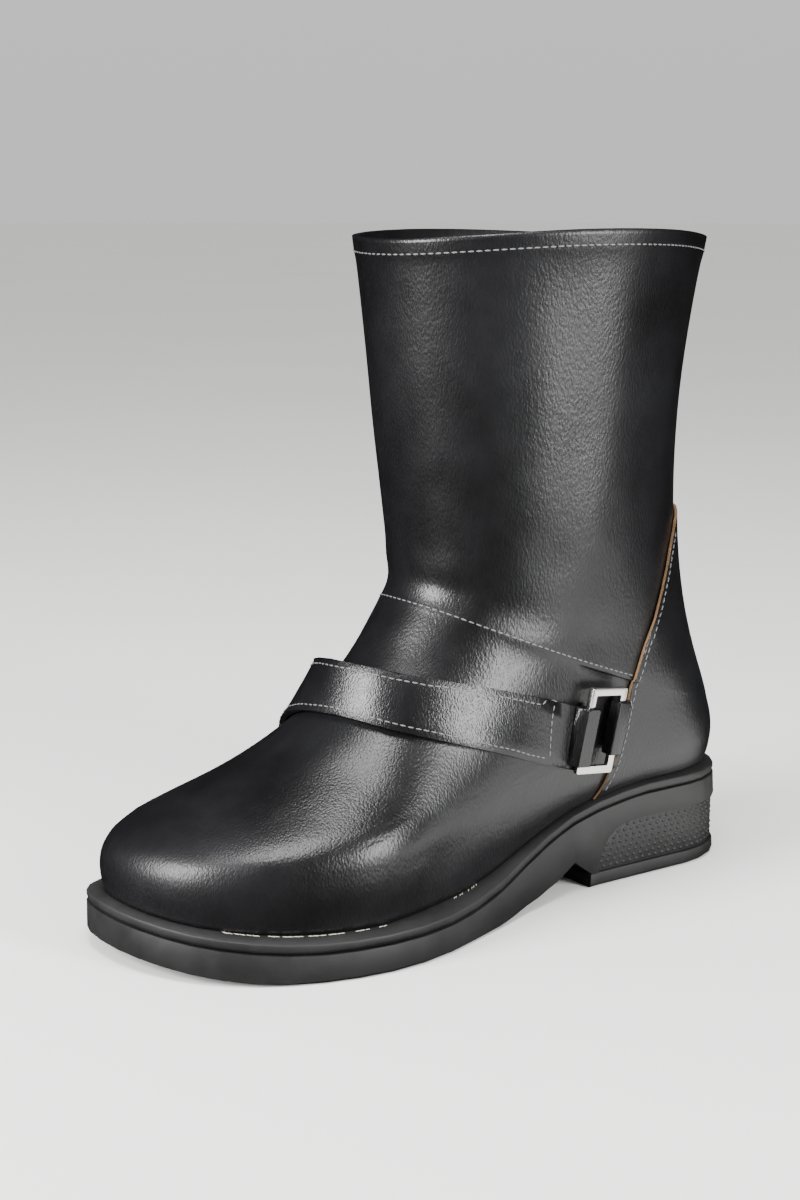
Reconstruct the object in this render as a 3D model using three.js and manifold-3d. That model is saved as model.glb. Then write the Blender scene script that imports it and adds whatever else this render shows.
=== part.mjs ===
// Left boot with a round toe, a low block heel, a cross strap and a zip up the back of the shaft.
// Millimetres. +X runs to the toe, +Y to the outer side of the foot and +Z up.
// The pieces are modelled with X = 0 at the back of the heel tread and Z = 0 on the floor.
// The finished group is then moved so that its origin is on the floor, under the middle of its box.
import * as THREE from 'three';
import { mergeVertices } from 'three/addons/utils/BufferGeometryUtils.js';
import Module from 'manifold-3d';

const wasm = await Module();
wasm.setup();

// Sizes of the sole
const soleLength = 280;
const ballWidth = 107.6;
const heelHeight = 40;
const foreSoleHeight = 16;
const toeSpring = 6;
const lipHeight = 5.3;
const lipBevelHeight = 1.6;
const lipBevelWidth = 4.2;
const heelBandHeight = 9.7;
const treadThickness = 5.7;
const soleEdgeChamfer = 1.2;
const heelBreastTop = 13;
const heelInset = 0.9;
const heelLean = 3.6;

// Sizes of the upper
const seamHeight = 118;
const seamBackHeight = 68;
const shaftHeight = 253;
const shaftBackHeight = 250;
const collarLength = 150.5;
const collarWidth = 112;
const outerRimRise = 5.5;
const innerRimRise = 3;
const leatherWall = 2;
const seamStep = 0.8;
const hemDepth = 6.5;
const hemStep = 0.5;
const featherMargin = 0.4;
const insoleThickness = 4;

// Sizes of the counter, the strap and its rings
const counterThickness = 1.2;
const strapWidth = 22.5;
const strapThickness = 1.8;
const strapStandOff = 11;
const outerRingLength = 34;
const outerRingHeight = 19.5;
const innerRingLength = 36;
const innerRingHeight = 11.5;
const ringBar = 3;
const ringThickness = 1.8;
const keeperWidth = 21;
const keeperTail = 4;
const strapTail = 4;
const keeperThickness = 1.4;

// Sizes of the zip
const zipWidth = 6;
const zipThickness = 1.8;
const slotOverlap = 3;
const slotReach = 20;
const sliderDepth = 12;
const sliderLength = 9;
const sliderWidth = 7.6;
const sliderThickness = 2.2;
const bailRadius = 2.3;
const bailHole = 1.25;
const bailThickness = 1.6;
const bailDrop = -1.5;
const pullLength = 20;
const pullWidth = 5.6;
const pullThickness = 1.3;
const pullRim = 1.6;
const windowShare = 0.22;
const pinRadius = 0.7;

// Gap between pieces that touch
const clearance = 0.3;

// Points round each ring of the upper and the sole
const ringSides = 56;

// Half widths of the sole as shares of the ball width, and how far its centre line swings to the
// outer side as a share of the sole length. Stations are shares of the sole length.
const soleRows = [
  { at: 0.00, half: 0.285, swing: 0.000 },
  { at: 0.12, half: 0.285, swing: 0.000 },
  { at: 0.30, half: 0.290, swing: -0.001 },
  { at: 0.42, half: 0.322, swing: 0.008 },
  { at: 0.54, half: 0.403, swing: 0.015 },
  { at: 0.64, half: 0.476, swing: 0.015 },
  { at: 0.72, half: 0.500, swing: 0.011 },
  { at: 0.80, half: 0.500, swing: 0.002 },
  { at: 0.88, half: 0.500, swing: -0.009 },
  { at: 0.95, half: 0.500, swing: -0.022 },
  { at: 1.00, half: 0.500, swing: -0.045 },
];
const soleBackCap = 0.115;
const soleFrontCap = 0.27;
const solePower = 2.2;

// How far the sole has dropped from the height of the heel to the height of the forefoot
const dropRows = [
  { at: 0.00, drop: 0.000 },
  { at: 0.20, drop: 0.010 },
  { at: 0.26, drop: 0.080 },
  { at: 0.33, drop: 0.220 },
  { at: 0.38, drop: 0.360 },
  { at: 0.425, drop: 0.540 },
  { at: 0.48, drop: 0.755 },
  { at: 0.535, drop: 0.910 },
  { at: 0.59, drop: 0.985 },
  { at: 0.65, drop: 1.000 },
  { at: 1.00, drop: 1.000 },
];
const springStart = 0.78;

// Stations of the heel, shares of the sole length
const heelCurveStart = 0.215;
const heelCurveCorner = 0.287;
const heelFront = 0.289;
const breastFoot = 0.302;

// Underside of the waist, from the top of the heel breast to the floor: shares of the sole length
// and of the height of the breast
const waistRows = [
  { at: 0.338, rise: 1.00 },
  { at: 0.375, rise: 0.63 },
  { at: 0.42, rise: 0.36 },
  { at: 0.48, rise: 0.15 },
  { at: 0.54, rise: 0.03 },
  { at: 0.59, rise: 0.00 },
];

// Rows of the upper from the feather line to the vamp seam. front, back and caps are shares of the
// sole length, rise and backRise run from the feather line (0) to the seam (1), heel, waist and
// ball are half widths as shares of the ball width, and follow is how far the row follows the
// feather line.
const footRows = [
  {
    front: 0.984, back: 0.0300, rise: 0.000, backRise: 0.00, heel: 0.258,
    waist: 0.290, ball: 0.452, frontCap: 0.270, backCap: 0.122, follow: 1.00, swing: 1.00, backPower: 2.2,
  },
  {
    front: 0.988, back: 0.0280, rise: 0.068, backRise: 0.14, heel: 0.278,
    waist: 0.312, ball: 0.472, frontCap: 0.272, backCap: 0.125, follow: 0.90, swing: 1.00, backPower: 2.2,
  },
  {
    front: 0.986, back: 0.0275, rise: 0.125, backRise: 0.25, heel: 0.289,
    waist: 0.324, ball: 0.480, frontCap: 0.272, backCap: 0.127, follow: 0.75, swing: 1.00, backPower: 2.2,
  },
  {
    front: 0.975, back: 0.0275, rise: 0.188, backRise: 0.34, heel: 0.296,
    waist: 0.331, ball: 0.480, frontCap: 0.272, backCap: 0.129, follow: 0.55, swing: 1.00, backPower: 2.2,
  },
  {
    front: 0.952, back: 0.0275, rise: 0.234, backRise: 0.41, heel: 0.302,
    waist: 0.335, ball: 0.475, frontCap: 0.272, backCap: 0.130, follow: 0.40, swing: 1.00, backPower: 2.2,
  },
  {
    front: 0.915, back: 0.0280, rise: 0.276, backRise: 0.48, heel: 0.306,
    waist: 0.339, ball: 0.467, frontCap: 0.270, backCap: 0.131, follow: 0.25, swing: 0.95, backPower: 2.2,
  },
  {
    front: 0.862, back: 0.0290, rise: 0.328, backRise: 0.55, heel: 0.309,
    waist: 0.342, ball: 0.456, frontCap: 0.270, backCap: 0.132, follow: 0.10, swing: 0.90, backPower: 2.2,
  },
  {
    front: 0.795, back: 0.0300, rise: 0.417, backRise: 0.625, heel: 0.312,
    waist: 0.346, ball: 0.442, frontCap: 0.268, backCap: 0.134, follow: 0.00, swing: 0.80, backPower: 2.2,
  },
  {
    front: 0.727, back: 0.0320, rise: 0.531, backRise: 0.70, heel: 0.315,
    waist: 0.350, ball: 0.428, frontCap: 0.262, backCap: 0.136, follow: 0.00, swing: 0.65, backPower: 2.2,
  },
  {
    front: 0.665, back: 0.0340, rise: 0.667, backRise: 0.77, heel: 0.317,
    waist: 0.356, ball: 0.418, frontCap: 0.252, backCap: 0.138, follow: 0.00, swing: 0.50, backPower: 2.2,
  },
  {
    front: 0.612, back: 0.0370, rise: 0.823, backRise: 0.86, heel: 0.320,
    waist: 0.363, ball: 0.409, frontCap: 0.240, backCap: 0.142, follow: 0.00, swing: 0.35, backPower: 2.15,
  },
  {
    front: 0.573, back: 0.0410, rise: 1.000, backRise: 1.00, heel: 0.325,
    waist: 0.372, ball: 0.405, frontCap: 0.228, backCap: 0.150, follow: 0.00, swing: 0.25, backPower: 2.1,
  },
];

// Rows of the shaft from above the seam (0) to the collar (1). middle is a share of the sole length,
// chord a share of the collar length, and the half widths are shares of the collar width. The back
// of the shaft comes to a blunt edge along the zip, so its power falls below that of an ellipse.
const shaftRows = [
  {
    middle: 0.3054, chord: 0.904, rise: 0.096, backRise: 0.100, heel: 0.313,
    waist: 0.366, ball: 0.384, frontCap: 0.46, backCap: 0.36, swing: 0.15, backPower: 1.95,
  },
  {
    middle: 0.3205, chord: 0.880, rise: 0.207, backRise: 0.220, heel: 0.339,
    waist: 0.384, ball: 0.393, frontCap: 0.48, backCap: 0.42, swing: 0.08, backPower: 1.8,
  },
  {
    middle: 0.3313, chord: 0.867, rise: 0.333, backRise: 0.352, heel: 0.375,
    waist: 0.402, ball: 0.402, frontCap: 0.49, backCap: 0.47, swing: 0.03, backPower: 1.7,
  },
  {
    middle: 0.3407, chord: 0.878, rise: 0.489, backRise: 0.505, heel: 0.406,
    waist: 0.415, ball: 0.415, frontCap: 0.50, backCap: 0.50, swing: 0.00, backPower: 1.65,
  },
  {
    middle: 0.3438, chord: 0.900, rise: 0.659, backRise: 0.681, heel: 0.434,
    waist: 0.436, ball: 0.436, frontCap: 0.50, backCap: 0.50, swing: 0.00, backPower: 1.6,
  },
  {
    middle: 0.3420, chord: 0.947, rise: 0.830, backRise: 0.846, heel: 0.464,
    waist: 0.464, ball: 0.464, frontCap: 0.50, backCap: 0.50, swing: 0.00, backPower: 1.6,
  },
  {
    middle: 0.3384, chord: 1.000, rise: 1.000, backRise: 1.000, heel: 0.500,
    waist: 0.500, ball: 0.500, frontCap: 0.50, backCap: 0.50, swing: 0.00, backPower: 1.6,
  },
];
const footPower = 2.2;
const shaftPower = 2.0;
const seamBow = 1.3;

// Edge of the counter seen from the side: shares of the sole length and of the heel height
const counterEdge = [
  { at: 0.318, rise: 0.60 },
  { at: 0.304, rise: 0.875 },
  { at: 0.286, rise: 1.25 },
  { at: 0.275, rise: 1.63 },
  { at: 0.268, rise: 2.05 },
  { at: 0.250, rise: 2.43 },
  { at: 0.218, rise: 2.95 },
  { at: 0.190, rise: 3.32 },
  { at: 0.160, rise: 3.56 },
  { at: 0.120, rise: 3.66 },
];

// Edges of the strap from the outer ring over the vamp to the inner ring. along is a share of the
// sole length, across of half the ball width and up of the seam height. lift is the share of the
// strap's stand-off at that place.
const strapRear = [
  { along: 0.364, across: 0.69, up: 0.655, lift: 0.08 },
  { along: 0.450, across: 0.65, up: 0.705, lift: 0.10 },
  { along: 0.540, across: 0.56, up: 0.755, lift: 0.30 },
  { along: 0.610, across: 0.38, up: 0.785, lift: 0.70 },
  { along: 0.645, across: 0.00, up: 0.790, lift: 1.00 },
  { along: 0.618, across: -0.45, up: 0.740, lift: 0.60 },
  { along: 0.562, across: -0.75, up: 0.610, lift: 0.20 },
  { along: 0.472, across: -0.83, up: 0.400, lift: 0.10 },
];
const strapFront = [
  { along: 0.360, across: 0.74, up: 0.462, lift: 0.10 },
  { along: 0.452, across: 0.74, up: 0.515, lift: 0.10 },
  { along: 0.550, across: 0.69, up: 0.580, lift: 0.08 },
  { along: 0.640, across: 0.48, up: 0.640, lift: 0.10 },
  { along: 0.692, across: 0.00, up: 0.680, lift: 0.12 },
  { along: 0.680, across: -0.52, up: 0.600, lift: 0.10 },
  { along: 0.638, across: -0.82, up: 0.460, lift: 0.10 },
  { along: 0.562, across: -0.92, up: 0.330, lift: 0.10 },
];
const strapSteps = 21;

// Middle of each ring on the side of the upper, and the way its long side runs, seen from the side
const ringPlaces = {
  outer: {
    side: 1, along: 0.331, up: 0.582, slope: 1.71, lean: 0,
    length: outerRingLength, height: outerRingHeight,
  },
  inner: {
    side: -1, along: 0.506, up: 0.288, slope: 2.87, lean: 0.1,
    length: innerRingLength, height: innerRingHeight,
  },
};

// Small helpers for numbers and tables
const mix = (a, b, t) => a + (b - a) * t;
const clamp = (v, low, high) => Math.min(high, Math.max(low, v));

// Smooth value of a column without overshoot, from rows sorted by the key column
function readTable(rows, key, column, at) {
  const last = rows.length - 1;
  if (at <= rows[0][key]) return rows[0][column];
  if (at >= rows[last][key]) return rows[last][column];
  let i = 0;
  while (rows[i + 1][key] < at) i += 1;
  const rate = (j) => (rows[j + 1][column] - rows[j][column]) / (rows[j + 1][key] - rows[j][key]);
  const slope = (j) => {
    if (j === 0) return rate(0);
    if (j === last) return rate(last - 1);
    const before = rate(j - 1);
    const after = rate(j);
    return before * after > 0 ? 2 * before * after / (before + after) : 0;
  };
  const span = rows[i + 1][key] - rows[i][key];
  const t = (at - rows[i][key]) / span;
  const value = rows[i][column] * (1 + 2 * t) * (1 - t) ** 2 + rows[i + 1][column] * t * t * (3 - 2 * t);
  return value + span * (slope(i) * t * (1 - t) ** 2 - slope(i + 1) * t * t * (1 - t));
}

// Share of the full width at a distance from the rounded end of an outline
function capShare(distance, length, power) {
  const t = clamp(1 - distance / length, 0, 1);
  return (1 - t ** power) ** (1 / power);
}

// Heights along the sole
const dropAt = (x) => readTable(dropRows, 'at', 'drop', x / soleLength);
const springAt = (x) => toeSpring * clamp((x / soleLength - springStart) / (1 - springStart), 0, 1) ** 2;
const featherAt = (x) => mix(heelHeight, foreSoleHeight, dropAt(x)) + springAt(x);
const grooveAt = (x) => featherAt(x) - lipHeight;
const swingAt = (x) => soleLength * readTable(soleRows, 'at', 'swing', x / soleLength);

// Meshes and solids
function solidFrom(geometry) {
  const plain = geometry.index ? geometry.toNonIndexed() : geometry.clone();
  plain.deleteAttribute('normal');
  plain.deleteAttribute('uv');
  const merged = mergeVertices(plain, 1e-4);
  return new wasm.Manifold(new wasm.Mesh({
    numProp: 3,
    vertProperties: new Float32Array(merged.attributes.position.array),
    triVerts: new Uint32Array(merged.index.array),
  }));
}

function geometryFrom(solid) {
  const mesh = solid.getMesh();
  const geometry = new THREE.BufferGeometry();
  geometry.setAttribute('position', new THREE.BufferAttribute(new Float32Array(mesh.vertProperties), 3));
  geometry.setIndex(new THREE.BufferAttribute(new Uint32Array(mesh.triVerts), 1));
  geometry.computeVertexNormals();
  return geometry;
}

// Closed body from rows of rings that all have the same number of points. The rings go round
// anticlockwise seen from above and the rows go up. A closed loop of rows makes a hollow wall, and
// otherwise the two ends are closed by strips across the ring.
function bodyFrom(rings, hollow = false) {
  const count = rings[0].length;
  const vertices = rings.flat();
  const position = new Float32Array(vertices.flatMap((p) => [p.x, p.y, p.z]));
  const index = [];
  const rowCount = rings.length;
  const at = (row, side) => (row % rowCount) * count + (side % count);
  for (let row = 0; row < (hollow ? rowCount : rowCount - 1); row += 1) {
    const rises = rings[(row + 1) % rowCount][0].z > rings[row][0].z;
    for (let side = 0; side < count; side += 1) {
      const here = [at(row, side), at(row, side + 1)];
      const next = [at(row + 1, side), at(row + 1, side + 1)];
      index.push(here[0], here[1], rises ? next[1] : next[0]);
      index.push(rises ? here[0] : here[1], next[1], next[0]);
    }
  }
  for (let side = 0; side < count / 2 && !hollow; side += 1) {
    const other = count - side;
    const top = rowCount - 1;
    if (side > 0) {
      index.push(at(0, side), at(0, other), at(0, side + 1));
      index.push(at(top, side), at(top, side + 1), at(top, other));
    }
    if (side < count / 2 - 1) {
      index.push(at(0, side + 1), at(0, other), at(0, other - 1));
      index.push(at(top, side + 1), at(top, other - 1), at(top, other));
    }
  }
  const geometry = new THREE.BufferGeometry();
  geometry.setAttribute('position', new THREE.BufferAttribute(position, 3));
  geometry.setIndex(index);
  return geometry;
}

// Prism through the whole width of the boot from a side outline of [x, z] points
const prismReach = 120;
function sidePrism(points, fromY = -prismReach, toY = prismReach) {
  const shape = new THREE.Shape(points.map(([x, z]) => new THREE.Vector2(x, z)));
  const geometry = new THREE.ExtrudeGeometry(shape, { depth: toY - fromY, bevelEnabled: false });
  const basis = new THREE.Matrix4().makeBasis(
    new THREE.Vector3(1, 0, 0), new THREE.Vector3(0, 0, 1), new THREE.Vector3(0, -1, 0));
  basis.setPosition(0, toY, 0);
  geometry.applyMatrix4(basis);
  return solidFrom(geometry);
}

// Materials
const finish = (color, roughness, metalness = 0) =>
  new THREE.MeshStandardMaterial({ color, roughness, metalness });
const blackLeather = finish(0x141416, 0.38);
const blackRubber = finish(0x1b1b1c, 0.6);
const tanLining = finish(0xb8763f, 0.8);
const zipTape = finish(0x101011, 0.7);
const polishedMetal = finish(0xc9c9c6, 0.2, 1);
const blackMetal = finish(0x161617, 0.35, 0.4);

const boot = new THREE.Group();
function addPiece(name, geometry, material) {
  const mesh = new THREE.Mesh(geometry, material);
  mesh.name = name;
  boot.add(mesh);
}

// Sole: every layer follows one outline
function soleRing(inset, height) {
  const ring = [];
  const back = inset + heelLean * clamp(height(0) / heelHeight, 0, 1);
  const front = soleLength - inset;
  for (let side = 0; side < ringSides; side += 1) {
    const turn = 2 * Math.PI * side / ringSides;
    const x = mix(back, front, (1 - Math.cos(turn)) / 2);
    const half = ballWidth * readTable(soleRows, 'at', 'half', x / soleLength) - inset;
    const capped = half * capShare(x - back, soleBackCap * soleLength, solePower)
      * capShare(front - x, soleFrontCap * soleLength, solePower);
    ring.push(new THREE.Vector3(x, swingAt(x) - Math.sign(Math.sin(turn)) * capped, height(x)));
  }
  return ring;
}

const bandBottom = heelHeight - lipHeight - heelBandHeight;
const stationCount = 40;

function heelFrontCurve(gap) {
  const curve = new THREE.QuadraticBezierCurve(
    new THREE.Vector2(heelCurveStart * soleLength - gap, bandBottom - gap),
    new THREE.Vector2(heelCurveCorner * soleLength - gap, bandBottom - gap),
    new THREE.Vector2(heelFront * soleLength - gap, treadThickness + clearance));
  return curve.getPoints(8).map((p) => [p.x, p.y]);
}

function outsoleSide() {
  const points = [[-soleLength, bandBottom], ...heelFrontCurve(0)];
  points.push([breastFoot * soleLength, treadThickness + clearance]);
  waistRows.forEach((row) => points.push([row.at * soleLength, row.rise * heelBreastTop]));
  const springFrom = Math.max(springStart, waistRows[waistRows.length - 1].at + 0.05);
  for (let step = 0; step <= 10; step += 1) {
    const x = mix(springFrom, 1, step / 10) * soleLength;
    points.push([x, springAt(x)]);
  }
  points.push([soleLength * 1.2, toeSpring]);
  points.push([soleLength * 1.2, grooveAt(soleLength) - clearance]);
  for (let step = 0; step <= stationCount; step += 1) {
    const x = mix(soleLength, 0, step / stationCount);
    points.push([x, grooveAt(x) - clearance]);
  }
  points.push([-soleLength, grooveAt(0) - clearance]);
  return points;
}

const soleBlock = solidFrom(bodyFrom([
  soleRing(soleEdgeChamfer, () => -1),
  soleRing(soleEdgeChamfer, () => 0),
  soleRing(0, () => soleEdgeChamfer),
  soleRing(0, () => heelHeight),
]));
addPiece('outsole', geometryFrom(soleBlock.intersect(sidePrism(outsoleSide()))), blackRubber);

addPiece('midsole', bodyFrom([
  soleRing(soleEdgeChamfer, grooveAt),
  soleRing(0, (x) => grooveAt(x) + soleEdgeChamfer),
  soleRing(0, (x) => featherAt(x) - lipBevelHeight),
  soleRing(lipBevelWidth, featherAt),
]), blackRubber);

// Heel: a block under the band with a panel that lies a little inside it, and its own tread
const heelBlock = solidFrom(bodyFrom([
  soleRing(heelInset + 1.1, () => 0),
  soleRing(heelInset, () => bandBottom),
]));
const heelSide = [[-soleLength, treadThickness + clearance], ...heelFrontCurve(clearance).reverse()];
heelSide.push([-soleLength, bandBottom - clearance]);
addPiece('heel', geometryFrom(heelBlock.intersect(sidePrism(heelSide))), blackRubber);
const treadSide = [[-soleLength, -1], [breastFoot * soleLength, -1]];
treadSide.push([breastFoot * soleLength, treadThickness], [-soleLength, treadThickness]);
const treadBlock = solidFrom(bodyFrom([
  soleRing(soleEdgeChamfer + heelInset, () => 0),
  soleRing(heelInset, () => soleEdgeChamfer),
  soleRing(heelInset, () => heelHeight),
]));
addPiece('heel_tread', geometryFrom(treadBlock.intersect(sidePrism(treadSide))), blackRubber);

// Upper: rows as real sizes, from the feather line to the collar
const featherFront = foreSoleHeight + toeSpring;
const upperRows = footRows.map((row, order) => ({
  order,
  front: row.front * soleLength,
  back: row.back * soleLength,
  frontHeight: mix(featherFront, seamHeight, row.rise),
  backHeight: mix(heelHeight, seamBackHeight, row.backRise),
  heel: row.heel * ballWidth,
  waist: row.waist * ballWidth,
  ball: row.ball * ballWidth,
  frontCap: row.frontCap * soleLength,
  backCap: row.backCap * soleLength,
  follow: row.follow,
  swing: row.swing,
  frontPower: footPower,
  backPower: row.backPower,
  rim: 0,
}));
const seamOrder = footRows.length - 1;
shaftRows.forEach((row, step) => {
  const middle = row.middle * soleLength;
  const chord = row.chord * collarLength;
  upperRows.push({
    order: footRows.length + step,
    front: middle + chord / 2,
    back: middle - chord / 2,
    frontHeight: mix(seamHeight, shaftHeight, row.rise),
    backHeight: mix(seamBackHeight, shaftBackHeight, row.backRise),
    heel: row.heel * collarWidth,
    waist: row.waist * collarWidth,
    ball: row.ball * collarWidth,
    frontCap: row.frontCap * chord,
    backCap: row.backCap * chord,
    follow: 0,
    swing: row.swing,
    frontPower: mix(footPower, shaftPower, (step + 1) / shaftRows.length),
    backPower: row.backPower,
    rim: clamp(step / (shaftRows.length - 1), 0, 1) ** 2,
  });
});
const collarOrder = upperRows.length - 1;
const rowColumns = Object.keys(upperRows[0]);

function rowAt(order) {
  const row = {};
  rowColumns.forEach((column) => { row[column] = readTable(upperRows, 'order', column, order); });
  return row;
}

const widthStations = ['heel', 'waist', 'ball'];
const stationShares = { heel: 0.12, waist: 0.42, ball: 0.72 };
function halfWidthAt(row, x) {
  const stations = widthStations.map((name) => ({ at: stationShares[name] * soleLength, half: row[name] }));
  const half = readTable(stations, 'at', 'half', x);
  return half * capShare(x - row.back, row.backCap, row.backPower)
    * capShare(row.front - x, row.frontCap, row.frontPower);
}

function heightAt(row, x) {
  const share = clamp((x - row.back) / (row.front - row.back), 0, 1);
  const span = featherAt(row.front) - featherAt(row.back);
  const feather = (featherAt(clamp(x, row.back, row.front)) - featherAt(row.back)) / span;
  return mix(row.backHeight, row.frontHeight, mix(share ** seamBow, feather, row.follow));
}

function surfacePoint(order, turn) {
  const row = rowAt(order);
  const x = mix(row.back, row.front, (1 - Math.cos(turn)) / 2);
  const half = halfWidthAt(row, x);
  const outward = -Math.sin(turn);
  const y = swingAt(x) * row.swing + Math.sign(outward) * half;
  const lean = outward > 0 ? outerRimRise : innerRimRise;
  return new THREE.Vector3(x, y, heightAt(row, x) + lean * row.rim * outward * outward);
}

function surfaceNormal(order, turn) {
  const step = 0.02;
  const low = surfacePoint(Math.max(order - step, 0), turn);
  const high = surfacePoint(Math.min(order + step, collarOrder), turn);
  const before = surfacePoint(order, turn - step);
  const after = surfacePoint(order, turn + step);
  return after.sub(before).cross(high.sub(low)).normalize();
}

// A ring at a distance outside the surface of the upper, or inside it where the distance is below 0
function upperRing(order, distance) {
  const ring = [];
  for (let side = 0; side < ringSides; side += 1) {
    const turn = 2 * Math.PI * side / ringSides;
    const point = surfacePoint(order, turn);
    const normal = surfaceNormal(order, turn);
    const flat = order === 0 || order === collarOrder;
    if (flat) normal.setZ(0).normalize();
    point.addScaledVector(normal, distance);
    if (order === 0) point.z = featherAt(point.x) + featherMargin;
    ring.push(point);
  }
  return ring;
}

const footOrders = [0, 1, 2, 2.5, 3, 3.5, 4, 5, 6, 7, 8, 9, 10];
const seamGap = 0.06;
const topSpacing = upperRows[collarOrder].frontHeight - upperRows[collarOrder - 1].frontHeight;
const hemOrder = collarOrder - hemDepth / topSpacing;
const shaftOrders = [seamOrder + 0.5];
for (let order = seamOrder + 1; order < collarOrder; order += 1) shaftOrders.push(order);
const outerRings = [
  ...footOrders.map((order) => upperRing(order, 0)),
  upperRing(seamOrder, 0),
  upperRing(seamOrder + seamGap, seamStep),
  ...shaftOrders.map((order) => upperRing(order, seamStep)),
  upperRing(hemOrder - seamGap / 2, seamStep),
  upperRing(hemOrder, seamStep + hemStep),
  upperRing(collarOrder, seamStep + hemStep),
];
const innerOrders = [...footOrders, seamOrder, ...shaftOrders, collarOrder];
const innerRings = innerOrders.map((order) => upperRing(order, -leatherWall)).reverse();
const upperSolid = solidFrom(bodyFrom([...outerRings, ...innerRings], true));

// Zip slot up the centre of the back
const counterTop = counterEdge[counterEdge.length - 1].rise * heelHeight;
const slotHeight = shaftHeight + outerRimRise;
const slotFoot = counterTop - slotOverlap;
const slotBack = -slotReach;
const slotShape = sidePrism([
  [slotBack, slotFoot], [collarLength / 2, slotFoot],
  [collarLength / 2, slotHeight], [slotBack, slotHeight],
], -zipWidth / 2 - clearance, zipWidth / 2 + clearance);
addPiece('upper', geometryFrom(upperSolid.subtract(slotShape)), blackLeather);

// Insole on the top of the midsole, inside the wall of the upper
const insoleRing = upperRing(0, -leatherWall - clearance);
const insoleTop = insoleRing.map((point) => point.clone().setZ(point.z + insoleThickness));
addPiece('insole', bodyFrom([insoleRing, insoleTop]), tanLining);

// Counter: a second layer round the heel, cut to its side outline
const wallStep = (order) => (order > seamOrder ? seamStep : 0);
const counterOrders = [...footOrders, seamOrder, seamOrder + seamGap,
  ...shaftOrders.filter((order) => order <= seamOrder + 4)];
const counterInner = counterOrders.map((order) => upperRing(order, wallStep(order) + clearance));
const counterOuter = counterOrders.map((order) => (
  upperRing(order, wallStep(order) + clearance + counterThickness)));
const counterShell = solidFrom(bodyFrom([...counterOuter, ...counterInner.reverse()], true));
const counterSide = [[-soleLength, 0], [counterEdge[0].at * soleLength, 0]];
counterEdge.forEach((row) => counterSide.push([row.at * soleLength, row.rise * heelHeight]));
counterSide.push([-soleLength, counterTop]);
addPiece('heel_counter', geometryFrom(counterShell.intersect(sidePrism(counterSide))), blackLeather);

// Places on the surface of the upper: the row at a height over a station, and the point on one side
function orderAt(x, z) {
  let low = 0;
  let high = collarOrder;
  for (let step = 0; step < 16; step += 1) {
    const middle = (low + high) / 2;
    if (heightAt(rowAt(middle), x) < z) low = middle;
    else high = middle;
  }
  return (low + high) / 2;
}

function sidePoint(x, z, side) {
  const row = rowAt(orderAt(x, z));
  return new THREE.Vector3(x, swingAt(x) * row.swing + side * halfWidthAt(row, x), z);
}

function isInside(point) {
  const row = rowAt(orderAt(point.x, point.z));
  if (point.x <= row.back || point.x >= row.front) return false;
  return Math.abs(point.y - swingAt(point.x) * row.swing) < halfWidthAt(row, point.x);
}

// Distance from an inner point to the surface along a direction
function reachToSurface(origin, direction) {
  let low = 0;
  let high = ballWidth;
  for (let step = 0; step < 16; step += 1) {
    const middle = (low + high) / 2;
    if (isInside(origin.clone().addScaledVector(direction, middle))) low = middle;
    else high = middle;
  }
  return low;
}

// Rings: a flat bar frame on each side. u runs from the bar that holds the strap to the bar that the
// keeper holds, v along the long side and n away from the foot.
const loopHole = ringThickness / 2 + clearance;
const ringLift = counterThickness + 2 * clearance + keeperThickness + loopHole;

function ringFrame(place) {
  const x = place.along * soleLength;
  const z = place.up * seamHeight;
  const long = [Math.cos(place.slope) * place.length / 2, Math.sin(place.slope) * place.length / 2];
  const short = [-Math.sin(place.slope) * place.height / 2, Math.cos(place.slope) * place.height / 2];
  const at = ([dx, dz], way) => sidePoint(x + way * dx, z + way * dz, place.side);
  const v = at(long, 1).sub(at(long, -1)).normalize();
  const u = at(short, 1).sub(at(short, -1)).normalize();
  const n = u.clone().cross(v).normalize();
  if (n.y * place.side < 0) n.negate();
  u.addScaledVector(v, -u.dot(v)).normalize();
  const middle = at(long, 1).add(at(long, -1)).add(at(short, 1)).add(at(short, -1)).multiplyScalar(0.25);
  const lift = Math.max(0, sidePoint(x, z, place.side).sub(middle).dot(n)) + ringLift;
  const turn = -place.lean * Math.sign(v.clone().cross(n).dot(u));
  n.applyAxisAngle(v, turn);
  u.applyAxisAngle(v, turn);
  const centre = middle.addScaledVector(n, lift + Math.sin(place.lean) * place.height / 2);
  return { u, v, n, centre, length: place.length, height: place.height };
}

function placed(geometry, frame, along) {
  const basis = new THREE.Matrix4().makeBasis(frame.u, frame.n, frame.u.clone().cross(frame.n));
  const depth = geometry.parameters.options.depth;
  const way = frame.u.clone().cross(frame.n).dot(frame.v);
  const centre = frame.centre.clone().addScaledVector(frame.v, along - way * depth / 2);
  basis.setPosition(centre);
  return geometry.applyMatrix4(basis);
}

function roundedRect(width, height, radius) {
  const shape = new THREE.Shape();
  const w = width / 2;
  const h = height / 2;
  shape.moveTo(-w + radius, -h);
  shape.lineTo(w - radius, -h);
  shape.absarc(w - radius, -h + radius, radius, -Math.PI / 2, 0, false);
  shape.lineTo(w, h - radius);
  shape.absarc(w - radius, h - radius, radius, 0, Math.PI / 2, false);
  shape.lineTo(-w + radius, h);
  shape.absarc(-w + radius, h - radius, radius, Math.PI / 2, Math.PI, false);
  shape.lineTo(-w, -h + radius);
  shape.absarc(-w + radius, -h + radius, radius, Math.PI, 1.5 * Math.PI, false);
  return shape;
}

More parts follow.
